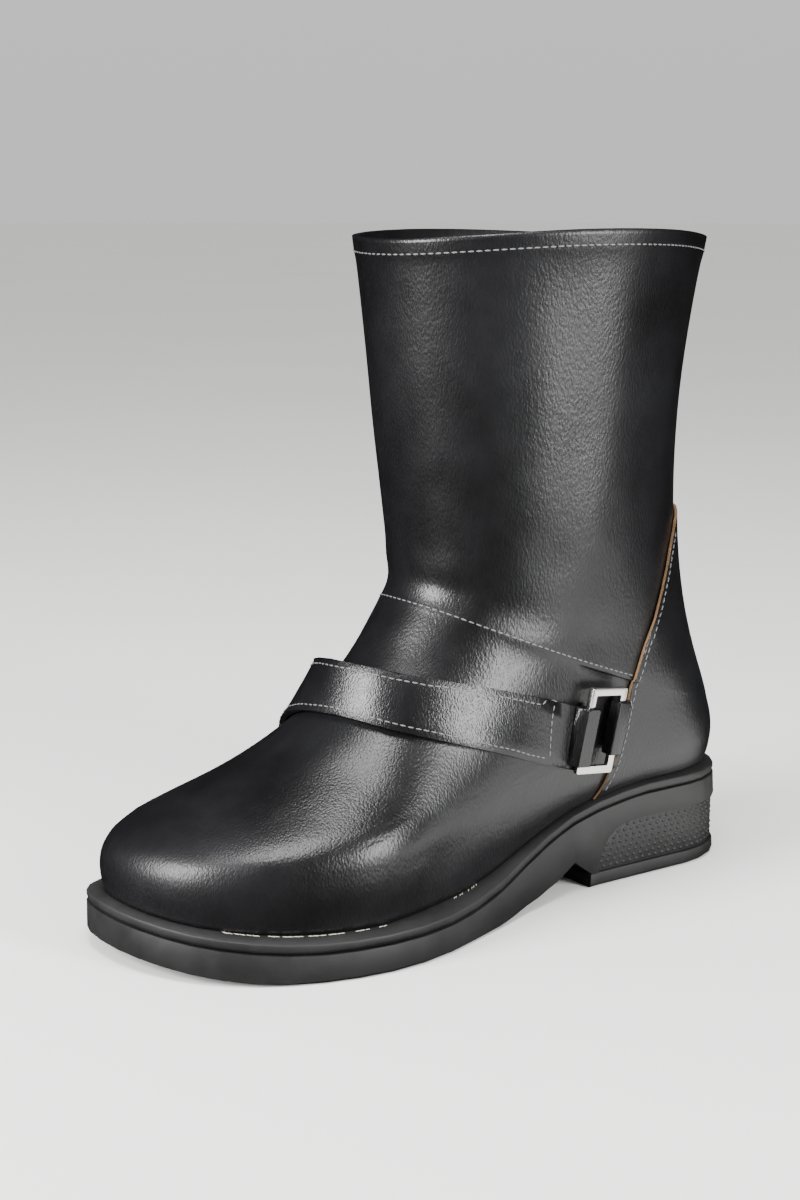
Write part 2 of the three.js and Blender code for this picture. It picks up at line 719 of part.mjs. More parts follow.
const ringCorner = 1;
function ringGeometry(frame) {
  const shape = roundedRect(frame.height, frame.length, ringCorner);
  const opening = roundedRect(frame.height - 2 * ringBar, frame.length - 2 * ringBar, ringCorner / 2);
  shape.holes.push(opening);
  const extrude = { depth: ringThickness, bevelEnabled: false, curveSegments: 2 };
  const geometry = new THREE.ExtrudeGeometry(shape, extrude);
  const cross = frame.u.clone().cross(frame.v);
  const basis = new THREE.Matrix4().makeBasis(frame.u, frame.v, cross);
  const way = cross.dot(frame.n);
  basis.setPosition(frame.centre.clone().addScaledVector(frame.n, -way * ringThickness / 2));
  return geometry.applyMatrix4(basis);
}

// A fold of leather round one bar of a ring, with a tail that runs away from the ring. way is +1
// towards the keeper's side and -1 towards the strap's side.
function barFold(frame, way, layer, width, along, tail) {
  const half = ringBar / 2 + clearance;
  const outer = loopHole + layer;
  const bar = way * (frame.height - ringBar) / 2;
  const point = (u, n) => new THREE.Vector2(bar + way * u, n);
  const outline = [
    point(-half - layer * 0.5, -outer),
    point(half + tail, -outer),
    point(half + tail, -outer + layer * 0.9),
    point(half + layer, outer),
    point(-half - layer * 0.5, outer),
    point(-half - layer, outer - layer * 0.5),
    point(-half - layer, -outer + layer * 0.5),
  ];
  const opening = [
    point(-half, -loopHole), point(half, -loopHole), point(half, loopHole), point(-half, loopHole),
  ];
  if (way < 0) {
    outline.reverse();
    opening.reverse();
  }
  const shape = new THREE.Shape(outline);
  shape.holes.push(new THREE.Path(opening));
  return placed(new THREE.ExtrudeGeometry(shape, { depth: width, bevelEnabled: false }), frame, along);
}

const frames = { outer: ringFrame(ringPlaces.outer), inner: ringFrame(ringPlaces.inner) };
const strapAlong = -0.064 * outerRingLength;
const keeperAlong = 0.027 * outerRingLength;
addPiece('outer_ring', ringGeometry(frames.outer), polishedMetal);
addPiece('inner_ring', ringGeometry(frames.inner), polishedMetal);
const outerFold = barFold(frames.outer, 1, keeperThickness, keeperWidth, keeperAlong, keeperTail);
addPiece('outer_keeper', outerFold, blackLeather);
addPiece('inner_keeper', barFold(frames.inner, 1, keeperThickness, keeperWidth, 0, keeperTail), blackLeather);

// Strap: its edges are curves through the table's places, and each station of an edge is moved on to
// the surface along a line from inside the foot
function strapEdge(rows) {
  const places = rows.map((row) => new THREE.Vector3(row.along * soleLength, row.across * ballWidth / 2,
    row.up * seamHeight));
  const curve = new THREE.CatmullRomCurve3(places);
  const line = [];
  for (let step = 0; step <= strapSteps; step += 1) {
    const share = step / strapSteps;
    const place = curve.getPoint(share);
    const origin = new THREE.Vector3(place.x - foreInstep, 0, place.z - foreInstep);
    const direction = place.clone().sub(origin).normalize();
    const nearest = share * (rows.length - 1);
    const low = Math.min(Math.floor(nearest), rows.length - 2);
    const lift = strapStandOff * mix(rows[low].lift, rows[low + 1].lift, nearest - low);
    line.push(origin.addScaledVector(direction, reachToSurface(origin, direction) + clearance + lift));
  }
  return line;
}

const foreInstep = 0.11 * soleLength;
const rearLine = strapEdge(strapRear);
const frontLine = strapEdge(strapFront);
const middleLine = rearLine.map((point, step) => {
  const place = point.clone().add(frontLine[step]).multiplyScalar(0.5);
  const origin = new THREE.Vector3(place.x - foreInstep, 0, place.z - foreInstep);
  const direction = place.clone().sub(origin);
  const distance = direction.length();
  direction.normalize();
  const reach = Math.max(reachToSurface(origin, direction) + clearance, distance);
  return origin.addScaledVector(direction, reach);
});
const strapLines = [rearLine, middleLine, frontLine];
const strapRings = [];
for (let step = 0; step <= strapSteps; step += 1) {
  const before = Math.max(step - 1, 0);
  const after = Math.min(step + 1, strapSteps);
  const run = strapLines[1][after].clone().sub(strapLines[1][before]);
  const across = strapLines[2][step].clone().sub(strapLines[0][step]);
  const normal = run.cross(across).normalize();
  const under = strapLines.map((line) => line[step]);
  const over = under.map((point) => point.clone().addScaledVector(normal, strapThickness));
  strapRings.push([...under, ...over.reverse()]);
}
const strapBody = solidFrom(bodyFrom(strapRings));
const foldAlong = { outer: strapAlong, inner: 0 };
const strapFolds = ['outer', 'inner'].map((name) => (
  solidFrom(barFold(frames[name], -1, strapThickness, strapWidth, foldAlong[name], strapTail))));
addPiece('strap', geometryFrom(strapBody.add(strapFolds[0]).add(strapFolds[1])), blackLeather);

// Zip: a closed chain in the slot, its slider near the collar and the pull that hangs from it
function backPoint(z) {
  let low = seamOrder;
  let high = collarOrder;
  for (let step = 0; step < 16; step += 1) {
    const middle = (low + high) / 2;
    if (surfacePoint(middle, 0).z < z) low = middle;
    else high = middle;
  }
  return surfacePoint((low + high) / 2, 0);
}

const zipFoot = counterTop - 2;
const zipSteps = 10;
const zipFace = seamStep - 0.2;
const zipRings = [];
for (let step = 0; step <= zipSteps; step += 1) {
  const point = backPoint(mix(zipFoot, shaftBackHeight - 1, step / zipSteps));
  const corner = (depth, y) => new THREE.Vector3(point.x - zipFace + depth, y, point.z);
  zipRings.push([corner(0, -zipWidth / 2), corner(zipThickness, -zipWidth / 2),
    corner(zipThickness, zipWidth / 2), corner(0, zipWidth / 2)]);
}
addPiece('zip_chain', bodyFrom(zipRings), zipTape);

// Plate standing across the back, from a shape of Y and Z, with its outer face at X = 0
function backPlate(shape, thickness) {
  const extrude = { depth: thickness, bevelEnabled: false, curveSegments: 6 };
  const geometry = new THREE.ExtrudeGeometry(shape, extrude);
  return geometry.applyMatrix4(new THREE.Matrix4().makeBasis(
    new THREE.Vector3(0, 1, 0), new THREE.Vector3(0, 0, 1), new THREE.Vector3(1, 0, 0)));
}

const sliderTop = sliderLength / 2 - sliderWidth / 2;
const sliderShape = new THREE.Shape();
sliderShape.moveTo(-sliderWidth * 0.3, -sliderLength / 2);
sliderShape.lineTo(sliderWidth * 0.3, -sliderLength / 2);
sliderShape.lineTo(sliderWidth / 2, sliderTop);
sliderShape.absarc(0, sliderTop, sliderWidth / 2, 0, Math.PI, false);
const bailShape = new THREE.Shape();
bailShape.absarc(0, 0, bailRadius, 0, 2 * Math.PI, false);
const bailOpening = new THREE.Path();
bailOpening.absarc(0, 0, bailHole, 0, 2 * Math.PI, true);
bailShape.holes.push(bailOpening);
const bailOptions = { depth: bailThickness, bevelEnabled: false, curveSegments: 12 };
const bailGeometry = new THREE.ExtrudeGeometry(bailShape, bailOptions);
bailGeometry.applyMatrix4(new THREE.Matrix4().makeBasis(
  new THREE.Vector3(1, 0, 0), new THREE.Vector3(0, 0, 1), new THREE.Vector3(0, -1, 0)));
bailGeometry.translate(-bailHole - clearance, bailThickness / 2, bailDrop);
const sliderSolid = solidFrom(backPlate(sliderShape, sliderThickness))
  .add(solidFrom(bailGeometry).subtract(sidePrism([[sliderThickness / 2, -sliderLength],
    [sliderLength, -sliderLength], [sliderLength, sliderLength], [sliderThickness / 2, sliderLength]])));
const sliderGeometry = geometryFrom(sliderSolid);

// The slider lies along the slope of the back, and its pivot is the middle of the bail
const sliderHeight = shaftBackHeight - sliderDepth;
const sliderPlace = backPoint(sliderHeight);
const slopeStep = backPoint(sliderHeight + sliderLength / 2).x
  - backPoint(sliderHeight - sliderLength / 2).x;
const sliderPose = new THREE.Matrix4().makeRotationY(Math.atan2(slopeStep, sliderLength));
sliderPose.setPosition(sliderPlace.x - seamStep - clearance, 0, sliderHeight);
const sliderShift = new THREE.Matrix4().makeTranslation(-sliderThickness, 0, 0);
sliderPose.multiply(sliderShift);
addPiece('zip_slider', sliderGeometry.applyMatrix4(sliderPose), polishedMetal);
const pivot = new THREE.Vector3(-bailHole - clearance, 0, bailDrop).applyMatrix4(sliderPose);
const pivotX = pivot.x;
const pivotZ = pivot.z;

const pullTop = pivotZ + pinRadius;
const pullShape = new THREE.Shape();
pullShape.moveTo(-pullWidth / 2, pullTop - pullLength + 1);
pullShape.absarc(-pullWidth / 2 + 1, pullTop - pullLength + 1, 1, Math.PI, 1.5 * Math.PI, false);
pullShape.absarc(pullWidth / 2 - 1, pullTop - pullLength + 1, 1, 1.5 * Math.PI, 2 * Math.PI, false);
pullShape.lineTo(pullWidth / 2, pullTop - pullLength * 0.3);
pullShape.lineTo(pullWidth * 0.4, pullTop);
pullShape.lineTo(-pullWidth * 0.4, pullTop);
pullShape.lineTo(-pullWidth / 2, pullTop - pullLength * 0.3);
const eyeHalf = bailThickness / 2 + clearance;
const eyeTop = pivotZ - pinRadius;
const eyeFoot = pivotZ - bailRadius - 2 * clearance;
pullShape.holes.push(new THREE.Path([
  new THREE.Vector2(-eyeHalf, eyeTop), new THREE.Vector2(eyeHalf, eyeTop),
  new THREE.Vector2(eyeHalf, eyeFoot), new THREE.Vector2(-eyeHalf, eyeFoot)]));
const windowHalf = pullWidth * 0.22;
const windowFoot = pullTop - pullLength + pullRim;
const windowTop = windowFoot + pullLength * windowShare;
pullShape.holes.push(new THREE.Path([
  new THREE.Vector2(-windowHalf, windowTop), new THREE.Vector2(windowHalf, windowTop),
  new THREE.Vector2(windowHalf, windowFoot), new THREE.Vector2(-windowHalf, windowFoot)]));
const pullPlate = backPlate(pullShape, pullThickness).translate(pivotX - pullThickness / 2, 0, 0);
addPiece('zip_pull', pullPlate, blackMetal);

// Origin on the floor, under the middle of the box
const box = new THREE.Box3().setFromObject(boot);
const middle = box.getCenter(new THREE.Vector3());
boot.position.set(-middle.x, -middle.y, -box.min.z);

export default boot;
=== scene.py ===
"""Dresses the frame of a left boot: leather, rubber, lining, hardware, stitching and the stage."""
import math
import random

import bmesh
import bpy
from bpy.props import FloatProperty, FloatVectorProperty, PointerProperty
from mathutils import Matrix, Vector
from mathutils.bvhtree import BVHTree


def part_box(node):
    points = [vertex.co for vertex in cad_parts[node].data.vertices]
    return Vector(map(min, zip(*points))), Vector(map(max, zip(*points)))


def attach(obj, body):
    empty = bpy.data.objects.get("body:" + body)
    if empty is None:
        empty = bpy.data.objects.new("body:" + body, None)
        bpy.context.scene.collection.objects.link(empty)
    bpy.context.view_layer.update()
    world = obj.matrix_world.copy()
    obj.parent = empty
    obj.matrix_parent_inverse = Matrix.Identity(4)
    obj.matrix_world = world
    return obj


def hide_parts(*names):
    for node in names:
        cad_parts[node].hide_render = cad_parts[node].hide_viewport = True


bl_info = {
    "name": "Cross strap boot",
    "version": (1, 0, 0),
    "blender": (4, 5, 0),
    "location": "3D View > Sidebar > Boot",
    "description": "Dresses the frame of a left boot",
    "category": "Object",
}

MM = 0.001
BODY = "boot"
PULL_BODY = "pull"
# From the back of the sole's outline to the back of the heel tread
HEEL_INSET = 0.9 * MM
# Rays that look for a surface start this far out: well outside the boot, beside a piece, or just
# over a surface, where they also end soon after it
FAR_OUT = 0.3
BESIDE = 0.12
CLOSE_BY = 0.05
JUST_OVER = 0.01

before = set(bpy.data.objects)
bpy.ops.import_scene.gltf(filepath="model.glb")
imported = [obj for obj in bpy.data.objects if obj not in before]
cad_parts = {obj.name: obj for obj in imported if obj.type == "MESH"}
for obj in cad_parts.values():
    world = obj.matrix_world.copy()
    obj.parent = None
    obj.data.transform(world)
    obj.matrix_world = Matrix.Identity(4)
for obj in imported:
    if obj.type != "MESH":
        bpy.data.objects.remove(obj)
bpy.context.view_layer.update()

# The frame's origin is under the middle of the boot. Places below count from the back of the heel
# tread, along the foot, and heel_back is where that is in the frame.
heel_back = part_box("heel_tread")[0][0] - HEEL_INSET


def place(along, across, up):
    """A point from millimetres along the foot from the heel, to the outer side and up."""
    return Vector((heel_back + along * MM, across * MM, up * MM))


def linear(code):
    """Linear colour of an sRGB hex value."""
    parts = [int(code[i:i + 2], 16) / 255 for i in (1, 3, 5)]
    return tuple(p / 12.92 if p <= 0.04045 else ((p + 0.055) / 1.055) ** 2.4 for p in parts)


def colour(name, code, text):
    return FloatVectorProperty(name=name, description=text, subtype="COLOR", size=3,
                               min=0, max=1, default=linear(code))


def length(name, millimetres, text):
    return FloatProperty(name=name, description=text, unit="LENGTH", precision=5,
                         default=millimetres * MM, min=0)


class BootFinish(bpy.types.PropertyGroup):
    """Colours and grain of the boot"""
    leather: colour("Leather", "#0b0b0c", "Coated leather of the upper, counter and strap")
    leather_high: colour("Leather, rubbed", "#151517", "Slightly paler patches of the leather")
    lining: colour("Lining", "#b1713c", "Tan lining and insole")
    cut: colour("Cut edge", "#a8825c", "Cut edges of the leather")
    rubber: colour("Rubber", "#131413", "Sole and heel")
    # The thread is black: this grey stands in for the gloss on it, a painted sheen
    thread: colour("Thread", "#626263", "Waxed sewing thread")
    metal: colour("Plated metal", "#d9d7d2", "Rings and slider")
    enamel: colour("Black enamel", "#101011", "Zip pull")
    glue: colour("Dried cement", "#b9b5a6", "Traces of cement along the feather line")
    floor: colour("Floor", "#f2f2f0", "Floor of the stage")
    grain: length("Grain", 0.85, "Width of one pebble of the leather's grain")
    grain_depth: length("Grain depth", 0.1, "Depth of the leather's grain")


class BootStitching(bpy.types.PropertyGroup):
    """Sizes of the sewing"""
    pitch: length("Pitch", 2.9, "From one stitch to the next")
    stitch: length("Stitch", 2.2, "Length of thread that shows in one stitch")
    thread: length("Thread", 0.62, "Thickness of the thread")
    margin: length("Margin", 2.1, "From a leather edge to its row of stitches")


class BootHeel(bpy.types.PropertyGroup):
    """Studs on the panel of the heel"""
    pitch: length("Stud pitch", 3.5, "From one stud to the next along a row")
    row: length("Row pitch", 2.25, "From one row of studs to the next")
    stud: length("Stud", 2.3, "Length of one stud")
    rise: length("Rise", 0.45, "Height of a stud over the panel")


class BootStage(bpy.types.PropertyGroup):
    """Camera and lights"""
    lens: FloatProperty(name="Lens", description="Focal length", default=60, unit="CAMERA")
    key: FloatProperty(name="Side light", description="Tall softbox on the right", default=20, unit="POWER")
    toe: FloatProperty(name="Toe light", description="Softbox in front of the toe", default=27, unit="POWER")
    top: FloatProperty(name="Top light", description="Softbox overhead", default=16, unit="POWER")
    room: FloatProperty(name="Room light", description="Even light of the room", default=0.9)


# Nodes of a material

def add_node(tree, kind, inputs=None, **settings):
    """A shader node with its settings. An input is a value, or the socket that feeds it."""
    node = tree.nodes.new("ShaderNode" + kind)
    for name, value in settings.items():
        setattr(node, name, value)
    for name, value in (inputs or {}).items():
        if isinstance(value, bpy.types.NodeSocket):
            tree.links.new(value, node.inputs[name])
        else:
            node.inputs[name].default_value = value
    return node


def noise(tree, where, scale, detail, roughness=0.5):
    return add_node(tree, "TexNoise", {
        "Vector": where, "Scale": scale, "Detail": detail, "Roughness": roughness})


def bumps(tree, height, distance, strength):
    return add_node(tree, "Bump", {
        "Height": height, "Distance": distance, "Strength": strength})


def new_material(name):
    """An empty material, with its shader and its object coordinates."""
    material = bpy.data.materials.new(name)
    material.use_nodes = True
    tree = material.node_tree
    tree.nodes.clear()
    shader = add_node(tree, "BsdfPrincipled")
    add_node(tree, "OutputMaterial", {"Surface": shader.outputs[0]})
    coordinates = add_node(tree, "TexCoord").outputs["Object"]
    return material, tree, shader, coordinates


def rgba(value):
    return (*value, 1.0)


# The pebbles of the grain are long, and run askew to the boot
GRAIN_TURN = (0.5, 0.65, 0.4)
GRAIN_STRETCH = (1.0, 1.25, 0.52)


def leather_material(name, finish, grain_share=1.0, gloss=0.0):
    """Split leather with a polyurethane coat, embossed with a fine long pebble: the coat gives a
    broad soft gloss, which the grain breaks up, and it dulls a little where it was handled."""
    material, tree, shader, coordinates = new_material(name)
    turned = add_node(tree, "Mapping", {
        "Vector": coordinates, "Rotation": GRAIN_TURN, "Scale": GRAIN_STRETCH}).outputs[0]
    bend = noise(tree, turned, 0.35 / finish.grain, 2.0)
    bent = add_node(tree, "VectorMath", {
        0: bend.outputs["Color"], "Scale": 1.3 * finish.grain}, operation="SCALE")
    shifted = add_node(tree, "VectorMath", {0: turned, 1: bent.outputs[0]})
    pebbles = add_node(tree, "TexVoronoi", {
        "Vector": shifted.outputs[0], "Scale": 1 / (finish.grain * grain_share), "Smoothness": 0.6,
    }, feature="SMOOTH_F1")
    fine = noise(tree, turned, 1.6 / finish.grain, 4.0, 0.6)
    domes = add_node(tree, "Math", {
        0: pebbles.outputs["Distance"], 1: -1.0, 2: 1.0}, operation="MULTIPLY_ADD")
    height = add_node(tree, "Math", {
        0: fine.outputs[0], 1: 0.55, 2: domes.outputs[0]}, operation="MULTIPLY_ADD")
    # Slow waves about 24 mm apart, as in leather that was pulled over a last
    waves = noise(tree, coordinates, 42.0, 3.0)
    bump = bumps(tree, height.outputs[0], finish.grain_depth, 0.8)
    soft = add_node(tree, "Bump", {
        "Height": waves.outputs[0], "Distance": 0.7 * MM, "Strength": 0.3, "Normal": bump.outputs[0]})
    # Patches about 60 mm apart that handling has dulled
    wear = noise(tree, coordinates, 16.0, 5.0, 0.65)
    tone = add_node(tree, "MapRange", {
        "Value": wear.outputs[0], "From Min": 0.35, "From Max": 0.72})
    base = add_node(tree, "Mix", {
        "Factor": tone.outputs[0], "A": rgba(finish.leather), "B": rgba(finish.leather_high),
    }, data_type="RGBA")
    rough = add_node(tree, "MapRange", {
        "Value": wear.outputs[0], "From Min": 0.3, "From Max": 0.75,
        "To Min": 0.29 - gloss, "To Max": 0.44 - gloss})
    tree.links.new(base.outputs["Result"], shader.inputs["Base Color"])
    tree.links.new(rough.outputs[0], shader.inputs["Roughness"])
    tree.links.new(soft.outputs[0], shader.inputs["Normal"])
    shader.inputs["IOR"].default_value = 1.5
    return material


def lining_material(finish):
    """Tan pigskin lining, dry and matt, with open pores a little under a millimetre apart."""
    material, tree, shader, coordinates = new_material("tan_pigskin_lining")
    pores = add_node(tree, "TexVoronoi", {"Vector": coordinates, "Scale": 1 / (1.3 * MM)})
    nap = noise(tree, coordinates, 1 / (0.6 * MM), 4.0)
    shade = noise(tree, coordinates, 28.0, 4.0)
    dark = tuple(c * 0.62 for c in finish.lining)
    base = add_node(tree, "Mix", {"Factor": shade.outputs[0], "A": rgba(dark),
                                            "B": rgba(finish.lining)}, data_type="RGBA")
    bump = add_node(tree, "Bump", {"Height": pores.outputs["Distance"], "Distance": 0.06 * MM,
                                             "Strength": 0.7})
    soft = add_node(tree, "Bump", {
        "Height": nap.outputs[0], "Distance": 0.05 * MM, "Strength": 0.6, "Normal": bump.outputs[0]})
    tree.links.new(base.outputs["Result"], shader.inputs["Base Color"])
    tree.links.new(soft.outputs[0], shader.inputs["Normal"])
    shader.inputs["Roughness"].default_value = 0.82
    return material


def raw_edge_material(finish):
    """Cut edge of the leather: loose tan fibres that the coat doesn't cover."""
    material, tree, shader, coordinates = new_material("raw_cut_leather")
    fibres = noise(tree, coordinates, 1 / (0.5 * MM), 3.0)
    dark = tuple(c * 0.45 for c in finish.cut)
    base = add_node(tree, "Mix", {"Factor": fibres.outputs[0], "A": rgba(dark),
                                            "B": rgba(finish.cut)}, data_type="RGBA")
    bump = add_node(tree, "Bump", {"Height": fibres.outputs[0], "Distance": 0.12 * MM})
    tree.links.new(base.outputs["Result"], shader.inputs["Base Color"])
    tree.links.new(bump.outputs[0], shader.inputs["Normal"])
    shader.inputs["Roughness"].default_value = 0.9
    return material


def rubber_material(finish):
    """Moulded rubber: matt, with a fine sandblasted mould grain and faint handling marks."""
    material, tree, shader, coordinates = new_material("moulded_black_rubber")
    sand = noise(tree, coordinates, 1 / (0.7 * MM), 3.0)
    marks = noise(tree, coordinates, 22.0, 6.0, 0.7)
    pale = tuple(min(1.0, c * 1.75 + 0.004) for c in finish.rubber)
    tone = add_node(tree, "MapRange", {
        "Value": marks.outputs[0], "From Min": 0.45, "From Max": 0.8})
    base = add_node(tree, "Mix", {"Factor": tone.outputs[0], "A": rgba(finish.rubber),
                                            "B": rgba(pale)}, data_type="RGBA")
    rough = add_node(tree, "MapRange", {"Value": marks.outputs[0], "From Min": 0.3, "From Max": 0.7,
                                                  "To Min": 0.5, "To Max": 0.68})
    bump = bumps(tree, sand.outputs[0], 0.05 * MM, 0.7)
    tree.links.new(base.outputs["Result"], shader.inputs["Base Color"])
    tree.links.new(rough.outputs[0], shader.inputs["Roughness"])
    tree.links.new(bump.outputs[0], shader.inputs["Normal"])
    return material


def metal_material(name, value, roughness):
    """Plated zinc casting, polished: faint cloudy polishing marks."""
    material, tree, shader, coordinates = new_material(name)
    polish = noise(tree, coordinates, 260.0, 3.0)
    rough = add_node(tree, "MapRange", {"Value": polish.outputs[0], "To Min": roughness * 0.7,
                                                  "To Max": roughness * 1.4})
    bump = bumps(tree, polish.outputs[0], 0.03 * MM, 0.4)
    tree.links.new(rough.outputs[0], shader.inputs["Roughness"])
    tree.links.new(bump.outputs[0], shader.inputs["Normal"])
    shader.inputs["Base Color"].default_value = rgba(value)
    shader.inputs["Metallic"].default_value = 1.0
    return material


def enamel_material(finish):
    """Baked black enamel on the zip pull, with a fine orange peel."""
    material, tree, shader, coordinates = new_material("baked_black_enamel")
    peel = noise(tree, coordinates, 1 / (0.9 * MM), 2.0)
    bump = bumps(tree, peel.outputs[0], 0.03 * MM, 0.5)
    tree.links.new(bump.outputs[0], shader.inputs["Normal"])
    shader.inputs["Base Color"].default_value = rgba(finish.enamel)
    shader.inputs["Roughness"].default_value = 0.28
    return material


def tape_material():
    """Woven polyester zip tape and coil: matt black with a herringbone too fine to count, drawn coarser."""
    material, tree, shader, coordinates = new_material("woven_polyester_tape")
    ribs = add_node(tree, "TexWave", {"Vector": coordinates, "Scale": 1 / (3.0 * MM)},
                    wave_type="BANDS", bands_direction="Z")
    bump = bumps(tree, ribs.outputs[1], 0.12 * MM, 0.6)
    tree.links.new(bump.outputs[0], shader.inputs["Normal"])
    shader.inputs["Base Color"].default_value = rgba(linear("#0e0e0f"))
    shader.inputs["Roughness"].default_value = 0.62
    return material


def thread_material(finish):
    """Waxed polyester thread: two plies twisted, with a low shine. The thread is black; its grey colour is a
    painted sheen.
    """
    material, tree, shader, coordinates = new_material("waxed_polyester_thread")
    twist = add_node(tree, "TexWave", {
        "Vector": coordinates, "Scale": 1 / (2.6 * MM), "Distortion": 0.5,
    }, wave_type="BANDS", bands_direction="DIAGONAL")
    bump = bumps(tree, twist.outputs[1], 0.08 * MM, 0.6)
    tree.links.new(bump.outputs[0], shader.inputs["Normal"])
    shader.inputs["Base Color"].default_value = rgba(finish.thread)
    shader.inputs["Roughness"].default_value = 0.42
    return material


def plain_material(name, value, roughness, cloud):
    """A matt surface whose colour drifts a little, as paper or dried cement does."""
    material, tree, shader, coordinates = new_material(name)
    drift = noise(tree, coordinates, cloud, 3.0)
    dark = tuple(c * 0.93 for c in value)
    base = add_node(tree, "Mix", {"Factor": drift.outputs[0], "A": rgba(dark), "B": rgba(value)},
                    data_type="RGBA")
    tree.links.new(base.outputs["Result"], shader.inputs["Base Color"])
    shader.inputs["Roughness"].default_value = roughness
    return material


def finish_of(name):
    """A material by its name, made the first time that it is asked for."""
    found = bpy.data.materials.get(name)
    if found:
        return found
    finish = bpy.context.scene.boot_finish
    makers = {
        "embossed_black_leather": lambda: leather_material("embossed_black_leather", finish),
        "smooth_black_leather": lambda: leather_material("smooth_black_leather", finish, 0.8, 0.03),
        "tan_pigskin_lining": lambda: lining_material(finish),
        "raw_cut_leather": lambda: raw_edge_material(finish),
        "moulded_black_rubber": lambda: rubber_material(finish),
        "polished_nickel_plate": lambda: metal_material("polished_nickel_plate", finish.metal, 0.2),
        "baked_black_enamel": lambda: enamel_material(finish),
        "woven_polyester_tape": tape_material,
        "waxed_polyester_thread": lambda: thread_material(finish),
        "dried_cement": lambda: plain_material("dried_cement", finish.glue, 0.6, 900.0),
        "matt_paper_floor": lambda: plain_material("matt_paper_floor", finish.floor, 0.85, 3.0),
    }
    return makers[name]()


# Meshes by hand

def deselect():
    if bpy.context.mode != "OBJECT":
        bpy.ops.object.mode_set(mode="OBJECT")
    bpy.ops.object.select_all(action="DESELECT")


def choose(obj):
    deselect()
    obj.select_set(True)
    bpy.context.view_layer.objects.active = obj


def apply_modifier(obj, kind, **settings):
    """Adds a modifier with its settings and applies it."""
    modifier = obj.modifiers.new(kind.title(), kind)
    for name, value in settings.items():
        setattr(modifier, name, value)
    choose(obj)
    bpy.ops.object.modifier_apply(modifier=modifier.name)


def closed_copy(node, name):
    """A copy of a frame node as a new piece, with its loose triangles joined."""
    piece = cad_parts[node].copy()
    piece.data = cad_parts[node].data.copy()
    piece.name = name
    piece.data.name = name
    piece.parent = None
    piece.matrix_world = Matrix.Identity(4)
    bpy.context.scene.collection.objects.link(piece)
    piece.data.materials.clear()
    choose(piece)
    bpy.ops.object.mode_set(mode="EDIT")
    bpy.ops.mesh.select_all(action="SELECT")
    bpy.ops.mesh.remove_doubles(threshold=0.004 * MM)
    bpy.ops.object.mode_set(mode="OBJECT")
    return piece


def soften_above(piece, height):
    """Lets the edges above a height round off, as the turned edge of a collar does."""
    mesh = bmesh.from_edit_mesh(piece.data)
    for edge in mesh.edges:
        edge.select_set(all(vertex.co.z > height for vertex in edge.verts))
    bmesh.update_edit_mesh(piece.data)
    bpy.ops.transform.edge_crease(value=-0.45)


def rounded(piece, levels, sharp=40, bevel=0.0, segments=2, soft_above=None):
    """Turns the triangles to quads, keeps sharp edges and smooths what lies between them."""
    choose(piece)
    bpy.ops.object.mode_set(mode="EDIT")
    bpy.ops.mesh.select_all(action="SELECT")
    bpy.ops.mesh.tris_convert_to_quads(face_threshold=math.radians(35), shape_threshold=math.radians(60))
    bpy.ops.mesh.select_all(action="DESELECT")
    bpy.ops.mesh.edges_select_sharp(sharpness=math.radians(sharp))
    bpy.ops.transform.edge_crease(value=1.0)
    if soft_above:
        soften_above(piece, soft_above)
    bpy.ops.object.mode_set(mode="OBJECT")
    if bevel:
        apply_modifier(piece, "BEVEL", width=bevel * MM, segments=segments, limit_method="ANGLE",
                       angle_limit=math.radians(sharp))
    if levels:
        apply_modifier(piece, "SUBSURF", levels=levels, render_levels=levels)
    smooth(piece, sharp)


def smooth(piece, angle=40):
    choose(piece)
    bpy.ops.object.shade_smooth_by_angle(angle=math.radians(angle))


def dress(piece, material, *nodes, body=BODY, slot="black_leather"):
    """Gives a piece its material and its body, and hides the frame nodes that it stands for."""
    if not piece.data.materials:
        piece.data.materials.append(finish_of(material))
    if nodes:
        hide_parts(*nodes)
    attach(piece, body)
    return piece


def surface_of(obj):
    """A tree that finds where a ray meets an object."""
    mesh = bmesh.new()
    mesh.from_mesh(obj.data)
    tree = BVHTree.FromBMesh(mesh)
    mesh.free()
    return tree


# Upper

# Lines of soft creases, as places along the foot, across and up, with width and depth, in
# millimetres. A depth under 0 is a ridge.
CREASES = [
    ("below the strap", [(196, 26, 60), (184, 38, 46), (176, 46, 34)], 11, 1.3),
    ("side of the ball", [(208, 44, 30), (196, 48, 33), (186, 49, 38)], 2.6, 0.55),
    ("side of the ball, above", [(212, 41, 36), (198, 45, 38), (190, 46, 43)], 2.2, 0.35),
    ("ankle front", [(152, 26, 122), (160, 0, 121), (152, -26, 122)], 7, 1.1),
    ("ankle front, above", [(146, 34, 132), (157, 0, 133), (146, -34, 132)], 6, -0.7),
    ("shaft, outer side", [(120, 44, 236), (112, 43, 190), (118, 42, 140)], 13, 1.0),
    ("shaft, outer side, behind", [(78, 40, 240), (74, 38, 190), (72, 37, 150)], 10, -0.6),
    ("shaft, inner side", [(118, -44, 232), (110, -43, 188), (116, -42, 142)], 13, 0.9),
    ("quarter, outer side", [(96, 38, 104), (112, 37, 96), (132, 34, 100)], 6, 0.6),
    ("quarter, inner side", [(98, -38, 104), (114, -37, 94), (134, -33, 98)], 6, 0.7),
]
# Middle of the hollow, from the toe to the collar: a face that points away from it is outside
SPINE = [(240, -6, 30), (200, 0, 34), (150, 0, 55), (100, 0, 72), (94, 0, 120), (94, 0, 262)]
INNER_FACING = 14
RIM_FOOT = 249
ZIP_REACH = 4.5


def nearest_on(line, point):
    """The nearest place on a line of places, and its distance."""
    best = None
    for start, end in zip(line, line[1:]):
        along = end - start
        share = max(0.0, min(1.0, (point - start).dot(along) / along.length_squared))
        near = start + along * share
        distance = (point - near).length
        if best is None or distance < best[1]:
            best = (near, distance)
    return best


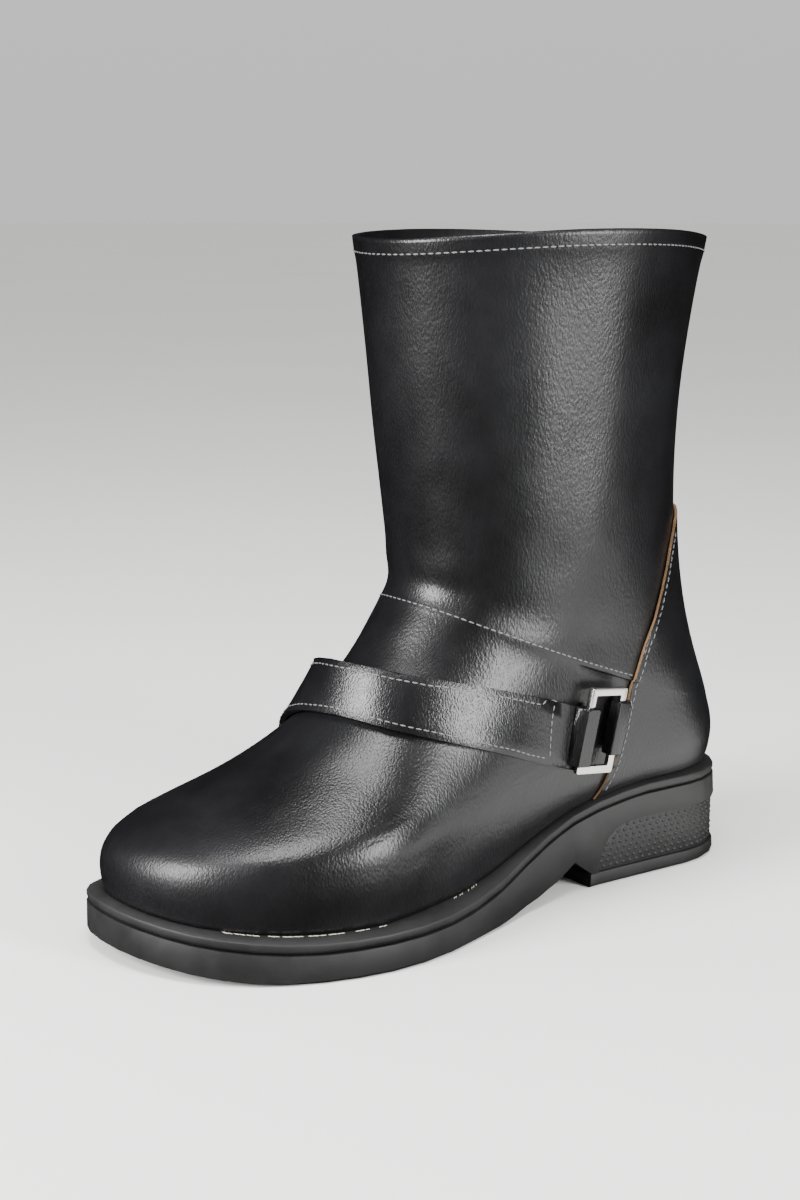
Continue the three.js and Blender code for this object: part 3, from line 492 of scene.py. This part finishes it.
class BOOT_OT_upper(bpy.types.Operator):
    """Leather upper with its soft creases, and the lining inside it"""
    bl_idname = "boot.upper"
    bl_label = "Upper"

    def execute(self, context):
        piece = closed_copy("upper", "upper_leather")
        rounded(piece, 2, sharp=48, soft_above=RIM_FOOT * MM)
        spine = [place(*p) for p in SPINE]
        facing_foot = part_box("upper")[1][2] - INNER_FACING * MM
        mesh = piece.data
        mesh.materials.append(finish_of("embossed_black_leather"))
        mesh.materials.append(finish_of("tan_pigskin_lining"))
        inner = set()
        for face in mesh.polygons:
            near, _ = nearest_on(spine, face.center)
            if face.normal.dot(face.center - near) < 0:
                inner.update(face.vertices)
                if face.center.z < facing_foot and not self.beside_zip(face):
                    face.material_index = 1
        creases = [([place(*p) for p in line], width * MM, depth * MM) for _, line, width, depth in CREASES]
        normals = [vertex.normal.copy() for vertex in mesh.vertices]
        for vertex in mesh.vertices:
            move = 0.0
            for line, width, depth in creases:
                distance = nearest_on(line, vertex.co)[1]
                if distance < 3 * width:
                    move += depth * math.exp(-(distance / width) ** 2)
            if move:
                inward = normals[vertex.index] if vertex.index in inner else -normals[vertex.index]
                vertex.co += inward * move
        smooth(piece, 55)
        dress(piece, "", "upper")
        return {"FINISHED"}

    @staticmethod
    def beside_zip(face):
        """Whether a face is a side of the slot for the zip."""
        return (abs(face.normal.y) > 0.7 and abs(face.center.y) < ZIP_REACH * MM
                and face.center.x < place(40, 0, 0).x)


# Faces of the counter's cut edge are narrower than this, in millimetres, and face forward or up
CUT_WIDTH = 1.9


class BOOT_OT_counter(bpy.types.Operator):
    """Leather counter round the heel, with its raw tan edge"""
    bl_idname = "boot.counter"
    bl_label = "Counter"

    def execute(self, context):
        piece = closed_copy("heel_counter", "heel_counter_leather")
        mesh = piece.data
        mesh.materials.append(finish_of("embossed_black_leather"))
        mesh.materials.append(finish_of("raw_cut_leather"))
        for face in mesh.polygons:
            corners = [mesh.vertices[i].co for i in face.vertices]
            longest = max((a - b).length for a in corners for b in corners)
            width = 2 * face.area / longest
            n = face.normal
            if abs(n.y) < 0.03 and width < CUT_WIDTH * MM and (n.x > 0.05 or n.z > 0.6):
                face.material_index = 1
        self.lie_over_ledge(piece)
        rounded(piece, 2, sharp=48)
        dress(piece, "", "heel_counter")
        return {"FINISHED"}

    @staticmethod
    def lie_over_ledge(piece):
        """Runs the outside straight over the ledge that the seam makes under the counter."""
        surface = surface_of(piece)
        reach = LEDGE_REACH * MM
        spine = [place(*p) for p in SPINE]
        for vertex in piece.data.vertices:
            low = seam_height(vertex.co) - reach
            share = (vertex.co.z - low) / (2 * reach)
            if not 0 < share < 1:
                continue
            near, _ = nearest_on(spine, vertex.co)
            away = Vector((vertex.co.x - near.x, vertex.co.y - near.y, 0)).normalized()
            start = vertex.co + away * CLOSE_BY
            hits = [surface.ray_cast(start + Vector((0, 0, up)), -away)[0]
                    for up in (0, low - vertex.co.z, low + 2 * reach - vertex.co.z)]
            if all(hits) and (hits[0] - vertex.co).length < 0.3 * MM:
                straight = hits[1].lerp(hits[2], share)
                vertex.co += away * (straight - vertex.co).dot(away)


class BOOT_OT_sole(bpy.types.Operator):
    """Rubber sole: outsole with its heel band, lip, heel block and tread"""
    bl_idname = "boot.sole"
    bl_label = "Sole"

    def execute(self, context):
        for node, bevel in (("outsole", 0.5), ("midsole", 0.45), ("heel", 0.35), ("heel_tread", 0.5)):
            piece = closed_copy(node, node + "_rubber")
            rounded(piece, 0, sharp=30, bevel=bevel)
            dress(piece, "moulded_black_rubber", node, slot="sole_rubber")
        return {"FINISHED"}


# In millimetres: how far to both sides of a stud's middle the panel is measured and how far apart
# those two places may be, so that no stud hangs over the edge, how deep a stud is sunk, the margins of the panel under and over the rows, and how far the middle of the heel's
# round back is behind the middle of the heel
STUD_REACH = 1.4
STUD_SPAN = 4
STUD_SINK = 0.1
PANEL_FOOT = 1.5
PANEL_HEAD = 1.2
PANEL_MIDDLE = 12


class BOOT_OT_heel_studs(bpy.types.Operator):
    """Rows of small raised studs moulded on the panel of the heel"""
    bl_idname = "boot.heel_studs"
    bl_label = "Heel studs"

    def execute(self, context):
        sizes = context.scene.boot_heel
        panel = surface_of(bpy.data.objects["heel_rubber"])
        low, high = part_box("heel")
        centre = Vector(((low[0] + high[0]) / 2 - PANEL_MIDDLE * MM, 0, 0))
        stud = one_stud(sizes)
        spots = []
        rows = int((high[2] - low[2] - 2.4 * MM) / sizes.row)
        for row in range(rows + 1):
            up = low[2] + PANEL_FOOT * MM + row * sizes.row
            line = []
            for step in range(721):
                turn = math.radians(-172 + 344 * step / 720)
                away = Vector((-math.cos(turn), math.sin(turn), 0))
                start = centre + away * 0.2 + Vector((0, 0, up))
                point, normal, _, _ = panel.ray_cast(start, -away)
                if not point or point.z >= high[2] - PANEL_HEAD * MM:
                    continue
                if abs(normal.z) < 0.2 and normal.x < 0.5:
                    line.append((point, normal))
            spots += spaced(line, sizes.pitch, sizes.pitch * (0.5 if row % 2 else 0.0))
        whole = []
        for point, normal, along in spots:
            start = point + normal * JUST_OVER
            reach = along * STUD_REACH * MM
            ahead, _, _, _ = panel.ray_cast(start + reach, -normal)
            behind, _, _, _ = panel.ray_cast(start - reach, -normal)
            if ahead and behind and (ahead - behind).length < STUD_SPAN * MM:
                whole.append((point, normal, along))
        piece = scattered(stud, whole, "heel_studs", sink=STUD_SINK * MM)
        smooth(piece, 60)
        dress(piece, "moulded_black_rubber", slot="sole_rubber")
        return {"FINISHED"}


def one_stud(sizes):
    """One stud: a low dome, longer than it is high."""
    deselect()
    bpy.ops.mesh.primitive_uv_sphere_add(segments=8, ring_count=6, radius=1.0)
    stud = bpy.context.object
    bpy.ops.object.mode_set(mode="EDIT")
    bpy.ops.mesh.select_all(action="SELECT")
    bpy.ops.mesh.bisect(plane_co=(0, 0, -0.1), plane_no=(0, 0, 1), clear_inner=True, use_fill=True)
    bpy.ops.mesh.select_all(action="SELECT")
    bpy.ops.transform.resize(value=(sizes.stud / 2, sizes.row * 0.4, sizes.rise),
                             center_override=(0, 0, 0))
    bpy.ops.object.mode_set(mode="OBJECT")
    return stud


# Rows of stitches and other small things that repeat along a line

def spaced(line, pitch, start=0.0):
    """Places at equal steps along a line of (point, normal), each with the way that the line runs."""
    found = []
    travelled = 0.0
    due = start
    for (a, normal_a), (b, normal_b) in zip(line, line[1:]):
        step = (b - a).length
        if step > 4 * MM:
            travelled = 0.0
            due = start
            continue
        while step > 0 and due <= travelled + step:
            share = (due - travelled) / step
            normal = normal_a.lerp(normal_b, share).normalized()
            found.append((a.lerp(b, share), normal, (b - a).normalized()))
            due += pitch
        travelled += step
    return found


def steadied(line, reach=3):
    """A line of (point, normal) with each place moved to the middle of its neighbours."""
    found = []
    for index in range(len(line)):
        near = line[max(0, index - reach):index + reach + 1]
        point = sum((spot[0] for spot in near), Vector()) / len(near)
        normal = sum((spot[1] for spot in near), Vector()).normalized()
        found.append((point, normal))
    return found


def scattered(model, spots, name, sink=0.0):
    """Copies of one small model at (point, normal, along), joined in one mesh. The model is removed."""
    joined = bmesh.new()
    for point, normal, along in spots:
        side = normal.cross(along).normalized()
        along = side.cross(normal).normalized()
        matrix = Matrix((along, side, normal)).transposed().to_4x4()
        matrix.translation = point - normal * sink
        copy = model.data.copy()
        copy.transform(matrix)
        joined.from_mesh(copy)
        bpy.data.meshes.remove(copy)
    mesh = bpy.data.meshes.new(name)
    joined.to_mesh(mesh)
    joined.free()
    bpy.data.objects.remove(model)
    piece = bpy.data.objects.new(name, mesh)
    bpy.context.scene.collection.objects.link(piece)
    return piece


# How far the middle of a stitch is over the leather
STITCH_RISE = 0.05 * MM


def one_stitch(sizes):
    """One stitch: thread that rises out of its hole, runs along and dips again."""
    deselect()
    bpy.ops.mesh.primitive_uv_sphere_add(segments=8, ring_count=7, radius=0.5,
                                         rotation=(0, math.pi / 2, 0))
    stitch = bpy.context.object
    bpy.ops.object.transform_apply(location=True, rotation=True, scale=True)
    bpy.ops.object.mode_set(mode="EDIT")
    bpy.ops.mesh.select_all(action="SELECT")
    bpy.ops.transform.resize(value=(sizes.stitch, sizes.thread, sizes.thread * 0.85))
    bpy.ops.object.mode_set(mode="OBJECT")
    return stitch


def sew(line, name, sizes):
    """A row of stitches along a line of (point, normal)."""
    spots = spaced(line, sizes.pitch, sizes.pitch / 2)
    piece = scattered(one_stitch(sizes), spots, name, sink=-STITCH_RISE)
    smooth(piece, 80)
    return dress(piece, "waxed_polyester_thread")


def around_shaft(surface, height_at, middle, start=-180, end=180, steps=360):
    """A line round the shaft at the height that height_at gives for a place along the foot."""
    line = []
    for step in range(steps + 1):
        turn = math.radians(start + (end - start) * step / steps)
        away = Vector((math.cos(turn), math.sin(turn), 0))
        point = place(middle, 0, 150)
        normal = away
        for _ in range(4):
            origin = Vector((place(middle, 0, 0).x, 0, height_at(point, turn))) + away * FAR_OUT
            hit, facing, _, _ = surface.ray_cast(origin, -away)
            if hit:
                point, normal = hit, facing
        line.append((point.copy(), normal.copy()))
    return line


SEAM_BACK = 11.5
SEAM_FRONT = 160.4
SEAM_LOW = 68
SEAM_HIGH = 118
SEAM_BOW = 1.3
# How far above and below the seam the counter runs straight over the ledge
LEDGE_REACH = 5


def seam_height(point):
    """Height of the seam between vamp and shaft at a place along the foot."""
    along = (point.x - heel_back) / MM
    share = max(0.0, min(1.0, (along - SEAM_BACK) / (SEAM_FRONT - SEAM_BACK)))
    return (SEAM_LOW + (SEAM_HIGH - SEAM_LOW) * share ** SEAM_BOW) * MM


# In millimetres: the middle of the shaft along the foot, the collar's rim to its stitches, the
# middle of the zip to the stitches beside it, and where those begin and end
SHAFT_MIDDLE = 94
COLLAR_MARGIN = 5.6
ZIP_MARGIN = 6.2
ZIP_STITCHES = (151, 241)


class BOOT_OT_seam_stitches(bpy.types.Operator):
    """Stitches along the vamp seam, under the collar, along the counter and beside the zip"""
    bl_idname = "boot.seam_stitches"
    bl_label = "Seam stitches"

    def execute(self, context):
        sizes = context.scene.boot_stitching
        upper = surface_of(bpy.data.objects["upper_leather"])
        counter = surface_of(bpy.data.objects["heel_counter_leather"])
        above = sizes.margin + 0.4 * MM
        line = around_shaft(upper, lambda p, t: seam_height(p) + above, 96, -150, 150)
        line = [spot for spot in line if self.clear_of(counter, spot)]
        sew(line, "seam_stitches", sizes)
        rims = {}

        def hem_height(point, turn):
            if turn not in rims:
                away = Vector((math.cos(turn), math.sin(turn), 0))
                start = place(SHAFT_MIDDLE, 0, 248) + away * FAR_OUT
                outside, _, _, _ = upper.ray_cast(start, -away)
                start = outside - away * 0.7 * MM + Vector((0, 0, 0.03))
                top, _, _, _ = upper.ray_cast(start, Vector((0, 0, -1)))
                rims[turn] = (top.z if top else outside.z) - COLLAR_MARGIN * MM
            return rims[turn]

        sew(around_shaft(upper, hem_height, SHAFT_MIDDLE, -173, 173), "collar_stitches", sizes)
        for side, name in ((1, "outer"), (-1, "inner")):
            sew(counter_line(counter, side, sizes.margin), f"counter_stitches_{name}", sizes)
            sew(self.beside_zip(upper, side), f"zip_stitches_{name}", sizes)
        return {"FINISHED"}

    @staticmethod
    def clear_of(counter, spot):
        point, normal = spot
        hit, _, _, _ = counter.ray_cast(point + normal * 0.02, -normal, 0.03)
        return hit is None

    @staticmethod
    def beside_zip(upper, side):
        line = []
        for step in range(100):
            up = ZIP_STITCHES[0] + (ZIP_STITCHES[1] - ZIP_STITCHES[0]) * step / 99
            hit, normal, _, _ = upper.ray_cast(place(-40, side * ZIP_MARGIN, up), Vector((1, 0, 0)))
            if hit:
                line.append((hit, normal))
        return line


# Side outline of the counter, in millimetres: its foot, its top and a place in front of it
COUNTER_FOOT = 38
COUNTER_TOP = 143.5
COUNTER_FRONT = 90


def counter_line(counter, side, margin):
    """A line behind the front edge of the counter, from the feather line to the top."""
    edge = []
    for step in range(160):
        up = COUNTER_FOOT + (COUNTER_TOP - COUNTER_FOOT) * step / 159
        for reach in range(200):
            along = COUNTER_FRONT - reach * 0.5
            hit, _, _, _ = counter.ray_cast(place(along, side * 120, up), Vector((0, -side, 0)))
            if hit:
                edge.append(place(along, 0, up))
                break
    line = []
    for before, here, after in zip(edge[:-8:2], edge[4:-4:2], edge[8::2]):
        run = (after - before).normalized()
        inward = Vector((-run.z, 0, run.x))
        spot = here + inward * (margin + 0.2 * MM)
        start = Vector((spot.x, side * BESIDE, spot.z))
        hit, normal, _, _ = counter.ray_cast(start, Vector((0, -side, 0)))
        if hit:
            line.append((hit, normal))
    return line


# Strap

STRAP_START = (101, 39, 66)
STRAP_RIDGE = (187, 0, 87)
STRAP_END = (147, -45, 41)
# Sewn end of each fold: its place along the foot on the outer side, and up on the inner side
OUTER_FOLD_END = 117.5
INNER_FOLD_END = 54
# Places left free at the ends of the rows along the strap, next to the rows across it
ROW_CLEAR = 4


class BOOT_OT_strap(bpy.types.Operator):
    """Leather strap over the vamp, folded round the front bar of each ring, with its stitching"""
    bl_idname = "boot.strap"
    bl_label = "Strap"

    def execute(self, context):
        sizes = context.scene.boot_stitching
        piece = closed_copy("strap", "strap_leather")
        rounded(piece, 1, sharp=40, bevel=0.35)
        dress(piece, "smooth_black_leather", "strap")
        surface = surface_of(piece)
        rear, front = (steadied(line) for line in self.edges(surface))
        rows = {"rear": [], "front": []}
        for (rear_point, rear_normal), (front_point, front_normal) in zip(rear, front):
            across = (front_point - rear_point).normalized()
            rows["rear"].append(self.on(surface, rear_point + across * sizes.margin, rear_normal))
            rows["front"].append(self.on(surface, front_point - across * sizes.margin, front_normal))
        for name, row in rows.items():
            rows[name] = [spot for spot in row if spot and self.between_folds(spot[0])]
            sew(rows[name][ROW_CLEAR:-ROW_CLEAR], f"strap_stitches_{name}", sizes)
        for end, index in (("outer", 0), ("inner", -1)):
            (a, normal_a), (b, normal_b) = rows["rear"][index], rows["front"][index]
            shares = [step / 30 for step in range(31)]
            fold = [self.on(surface, a.lerp(b, s), normal_a.lerp(normal_b, s)) for s in shares]
            sew([spot for spot in fold if spot], f"strap_fold_stitches_{end}", sizes)
        return {"FINISHED"}

    @staticmethod
    def between_folds(point):
        """Whether a place on the strap is past the sewn end of both folds."""
        if point.y > 0:
            return point.x > place(OUTER_FOLD_END, 0, 0).x
        return point.z > INNER_FOLD_END * MM

    @staticmethod
    def on(surface, point, normal):
        hit, facing, _, _ = surface.ray_cast(point + normal * JUST_OVER, -normal, 2 * JUST_OVER)
        return (hit, facing) if hit else None

    @staticmethod
    def edges(surface):
        """The rear and front edges of the strap's face, from the outer ring to the inner ring."""
        start, ridge, end = place(*STRAP_START), place(*STRAP_RIDGE), place(*STRAP_END)
        origin = (start + end) / 2
        first = (start - origin).normalized()
        second = ridge - origin
        second = (second - first * second.dot(first)).normalized()
        axis = first.cross(second)
        rear, front = [], []
        for step in range(241):
            turn = math.radians(-4 + 188 * step / 240)
            ring = first * math.cos(turn) + second * math.sin(turn)
            hits = []
            for tilt in range(-110, 111):
                lean = math.radians(tilt / 2)
                away = ring * math.cos(lean) + axis * math.sin(lean)
                hit, normal, _, _ = surface.ray_cast(origin + away * 0.2, -away)
                if hit and normal.dot(away) > 0.55:
                    hits.append((hit, normal))
            if len(hits) > 8:
                ends = sorted((hits[0], hits[-1]), key=lambda spot: -spot[0].z)
                rear.append(ends[0])
                front.append(ends[1])
        return rear, front


# From the back edge and from the ends of the outer keeper to its stitches, in millimetres
KEEPER_MARGIN = 2.2
KEEPER_END = 1.5


class BOOT_OT_hardware(bpy.types.Operator):
    """Plated rings and the leather keepers that hold them"""
    bl_idname = "boot.hardware"
    bl_label = "Rings and keepers"

    def execute(self, context):
        sizes = context.scene.boot_stitching
        for side in ("outer", "inner"):
            ring = closed_copy(f"{side}_ring", f"{side}_ring_plated")
            rounded(ring, 0, sharp=30, bevel=0.4, segments=3)
            dress(ring, "polished_nickel_plate", f"{side}_ring", slot="polished_metal")
            keeper = closed_copy(f"{side}_keeper", f"{side}_keeper_leather")
            rounded(keeper, 0, sharp=30, bevel=0.45, segments=3)
            dress(keeper, "smooth_black_leather", f"{side}_keeper")
        low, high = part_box("outer_keeper")
        surface = surface_of(bpy.data.objects["outer_keeper_leather"])
        line = []
        for step in range(40):
            up = low[2] + KEEPER_END * MM + (high[2] - low[2] - 2 * KEEPER_END * MM) * step / 39
            start = Vector((low[0] + KEEPER_MARGIN * MM, BESIDE, up))
            hit, normal, _, _ = surface.ray_cast(start, Vector((0, -1, 0)))
            if hit:
                line.append((hit, normal))
        sew(line, "keeper_stitches", sizes)
        return {"FINISHED"}


class BOOT_OT_insole(bpy.types.Operator):
    """Lined insole, crowned a little and rounded at its edge"""
    bl_idname = "boot.insole"
    bl_label = "Insole"

    def execute(self, context):
        piece = closed_copy("insole", "insole_board")
        rounded(piece, 0, sharp=30, bevel=1.0, segments=3)
        dress(piece, "tan_pigskin_lining", "insole", slot="tan_lining")
        return {"FINISHED"}


# In millimetres: the middle of each side's coil from the middle of the zip, from one loop to the
# next, from the ends of the chain to the coil, and how deep the loops lie in the tape
COIL_HALF = 0.75
COIL_PITCH = 1.5
COIL_END = 1
COIL_SINK = 0.25
LOOP = (2.6, 1.0, 1.0)


class BOOT_OT_zip(bpy.types.Operator):
    """Coil zip up the back, its slider and its pull"""
    bl_idname = "boot.zip"
    bl_label = "Zip"

    def execute(self, context):
        tape = closed_copy("zip_chain", "zip_tape")
        rounded(tape, 0, sharp=30, bevel=0.3)
        dress(tape, "woven_polyester_tape", "zip_chain", slot="zip_tape")
        surface = surface_of(tape)
        low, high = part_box("zip_chain")
        spots = []
        pitch = COIL_PITCH * MM
        for side in (1, -1):
            line = []
            for step in range(200):
                up = low[2] + COIL_END * MM + (high[2] - low[2] - 2 * COIL_END * MM) * step / 199
                start = Vector((low[0] - CLOSE_BY, side * COIL_HALF * MM, up))
                hit, normal, _, _ = surface.ray_cast(start, Vector((1, 0, 0)))
                if hit:
                    line.append((hit, normal))
            for point, normal, along in spaced(line, pitch, pitch * (0.25 if side > 0 else 0.75)):
                spots.append((point, normal, normal.cross(along)))
        coil = scattered(self.one_tooth(), spots, "zip_coil", sink=COIL_SINK * MM)
        smooth(coil, 80)
        dress(coil, "woven_polyester_tape", slot="zip_tape")
        slider = closed_copy("zip_slider", "zip_slider_plated")
        rounded(slider, 0, sharp=30, bevel=0.35, segments=3)
        dress(slider, "polished_nickel_plate", "zip_slider", slot="polished_metal")
        pull = closed_copy("zip_pull", "zip_pull_enamelled")
        rounded(pull, 0, sharp=30, bevel=0.25, segments=3)
        dress(pull, "baked_black_enamel", "zip_pull", body=PULL_BODY, slot="black_metal")
        return {"FINISHED"}

    @staticmethod
    def one_tooth():
        """One loop of the coil: a short round bar across the zip."""
        deselect()
        bpy.ops.mesh.primitive_uv_sphere_add(segments=8, ring_count=6, radius=0.5,
                                             rotation=(0, math.pi / 2, 0))
        tooth = bpy.context.object
        bpy.ops.object.transform_apply(location=True, rotation=True, scale=True)
        bpy.ops.object.mode_set(mode="EDIT")
        bpy.ops.mesh.select_all(action="SELECT")
        bpy.ops.transform.resize(value=[size * MM for size in LOOP])
        bpy.ops.object.mode_set(mode="OBJECT")
        return tooth


# Middle of the ball along the foot, height of the feather line at the toe, and length, width and
# thickness of a trace, in millimetres
BALL_MIDDLE = 205
CEMENT_HEIGHT = 18.5
TRACE = (1.9, 0.45, 0.3)
# Arcs round the ball's middle that have traces: first and last angle from the toe, and how many
CEMENT_ARCS = ((28, 96, 44), (130, 152, 12))


class BOOT_OT_cement(bpy.types.Operator):
    """Small traces of dried cement where the upper meets the lip of the sole"""
    bl_idname = "boot.cement"
    bl_label = "Cement traces"

    def execute(self, context):
        chance = random.Random(7)
        upper = surface_of(bpy.data.objects["upper_leather"])
        lip = surface_of(bpy.data.objects["midsole_rubber"])
        spots = []
        middle = place(BALL_MIDDLE, 0, 0)
        for first, last, count in CEMENT_ARCS:
            for _ in range(count):
                turn = math.radians(chance.uniform(first, last))
                away = Vector((math.cos(turn), math.sin(turn), 0))
                start = middle + away * FAR_OUT + Vector((0, 0, CEMENT_HEIGHT * MM))
                foot, _, _, _ = upper.ray_cast(start, -away)
                if not foot:
                    continue
                start = foot + away * 0.3 * MM + Vector((0, 0, JUST_OVER))
                top, normal, _, _ = lip.ray_cast(start, Vector((0, 0, -1)))
                if top:
                    along = Vector((-away.y, away.x, 0))
                    spots.append((top, normal, along))
        piece = scattered(self.one_trace(), spots, "cement_traces")
        dress(piece, "dried_cement", slot="sole_rubber")
        return {"FINISHED"}

    @staticmethod
    def one_trace():
        """One trace: a thin flat smear."""
        deselect()
        bpy.ops.mesh.primitive_ico_sphere_add(subdivisions=2, radius=0.5)
        trace = bpy.context.object
        bpy.ops.object.mode_set(mode="EDIT")
        bpy.ops.mesh.select_all(action="SELECT")
        bpy.ops.transform.resize(value=[size * MM for size in TRACE])
        bpy.ops.object.mode_set(mode="OBJECT")
        return trace


# Stage

# The photo's camera: its place, its turn from the side view and its tilt. The shift, for each
# millimetre of focal length, brings the one boot to the middle of the frame.
EYE = (601.0, 587.2, 274.3)
TURN = 32.75
TILT = 11.49
FRAME_SHIFT = (0.00205, -0.00022)
# The gloss shows a disc of the floor beside the outer ring, as a card laid there would give
CARD_PLACE = (-32, 185, 0)
CARD_RADIUS = 0.15
FLOOR_REACH = 12.0
# Each softbox: its place, what it faces, its width and height, all in metres, and its power
SOFTBOXES = (
    ("side_softbox", (-0.34, 1.0, 0.36), (0, 0, 0.14), 0.26, 0.8, "key"),
    ("toe_softbox", (1.0, 0.0, 0.5), (0, 0, 0.1), 0.35, 0.6, "toe"),
    ("top_softbox", (0.25, 0.25, 1.3), (0, 0, 0), 0.5, 0.5, "top"),
)


class BOOT_OT_stage(bpy.types.Operator):
    """Pale floor, soft boxes, the room's light and the camera"""
    bl_idname = "boot.stage"
    bl_label = "Stage"

    def execute(self, context):
        stage = context.scene.boot_stage
        look = Vector((-math.sin(math.radians(TURN)) * math.cos(math.radians(TILT)),
                       -math.cos(math.radians(TURN)) * math.cos(math.radians(TILT)),
                       -math.sin(math.radians(TILT))))
        deselect()
        bpy.ops.object.camera_add(location=place(*EYE))
        camera = context.object
        camera.rotation_euler = look.to_track_quat("-Z", "Y").to_euler()
        camera.data.sensor_fit = "VERTICAL"
        camera.data.sensor_height = 36
        camera.data.lens = stage.lens
        camera.data.shift_x = FRAME_SHIFT[0] * stage.lens
        camera.data.shift_y = FRAME_SHIFT[1] * stage.lens
        context.scene.camera = camera
        self.floor()
        for name, spot, aim, width, height, power in SOFTBOXES:
            self.softbox(name, spot, aim, width, height, getattr(stage, power))
        world = bpy.data.worlds.new("studio")
        world.use_nodes = True
        tree = world.node_tree
        direction = add_node(tree, "TexCoord").outputs["Generated"]
        way = add_node(tree, "SeparateXYZ", {0: direction})
        # Darker at the horizon, so that it meets the floor
        level = add_node(tree, "MapRange", {
            "Value": way.outputs["Z"], "To Min": 0.82 * stage.room, "To Max": 1.1 * stage.room})
        tree.links.new(level.outputs[0], tree.nodes["Background"].inputs["Strength"])
        tree.nodes["Background"].inputs["Color"].default_value = (1, 1, 1, 1)
        world.cycles_visibility.glossy = False
        context.scene.world = world
        return {"FINISHED"}

    @staticmethod
    def floor():
        """A pale disc beside the outer ring, which its gloss shows, and the floor, which it doesn't."""
        centre = place(*CARD_PLACE)
        deselect()
        bpy.ops.mesh.primitive_circle_add(vertices=64, radius=CARD_RADIUS, fill_type="NGON", location=centre)
        near = bpy.context.object
        near.name = "floor_card"
        deselect()
        bpy.ops.mesh.primitive_circle_add(vertices=64, radius=FLOOR_REACH, location=centre)
        far = bpy.context.object
        far.name = "floor"
        bpy.ops.object.mode_set(mode="EDIT")
        bpy.ops.mesh.select_all(action="SELECT")
        bpy.ops.mesh.extrude_region_move()
        bpy.ops.transform.resize(value=(CARD_RADIUS / FLOOR_REACH,) * 3, center_override=centre)
        bpy.ops.mesh.select_all(action="SELECT")
        bpy.ops.mesh.normals_make_consistent(inside=False)
        bpy.ops.object.mode_set(mode="OBJECT")
        far.visible_glossy = False
        for part in (near, far):
            choose(part)
            bpy.ops.object.transform_apply(location=True, rotation=True, scale=True)
            part.data.materials.append(finish_of("matt_paper_floor"))

    @staticmethod
    def softbox(name, spot, aim, width, height, power):
        deselect()
        bpy.ops.object.light_add(type="AREA", location=spot)
        light = bpy.context.object
        light.name = name
        light.data.shape = "RECTANGLE"
        light.data.size = width
        light.data.size_y = height
        light.data.energy = power
        light.rotation_euler = (Vector(aim) - Vector(spot)).to_track_quat("-Z", "Y").to_euler()


OPERATORS = (
    BOOT_OT_upper, BOOT_OT_counter, BOOT_OT_sole, BOOT_OT_heel_studs, BOOT_OT_insole, BOOT_OT_strap,
    BOOT_OT_hardware, BOOT_OT_zip, BOOT_OT_seam_stitches, BOOT_OT_cement, BOOT_OT_stage,
)
GROUPS = {
    "boot_finish": BootFinish,
    "boot_stitching": BootStitching,
    "boot_heel": BootHeel,
    "boot_stage": BootStage,
}


class BOOT_PT_panel(bpy.types.Panel):
    """Buttons for the pieces of the boot, with their sizes and colours"""
    bl_label = "Boot"
    bl_idname = "BOOT_PT_panel"
    bl_space_type = "VIEW_3D"
    bl_region_type = "UI"
    bl_category = "Boot"

    def draw(self, context):
        for operator in OPERATORS:
            self.layout.operator(operator.bl_idname)
        for name, group in GROUPS.items():
            box = self.layout.box()
            box.label(text=group.__doc__)
            for prop in group.__annotations__:
                box.prop(getattr(context.scene, name), prop)


def register():
    for kind in (*GROUPS.values(), *OPERATORS, BOOT_PT_panel):
        bpy.utils.register_class(kind)
    for name, group in GROUPS.items():
        setattr(bpy.types.Scene, name, PointerProperty(type=group))


def unregister():
    for name in GROUPS:
        delattr(bpy.types.Scene, name)
    for kind in reversed((*GROUPS.values(), *OPERATORS, BOOT_PT_panel)):
        bpy.utils.unregister_class(kind)


def main():
    register()
    for operator in OPERATORS:
        group, name = operator.bl_idname.split(".")
        getattr(getattr(bpy.ops, group), name)()


if __name__ == "__main__":
    main()
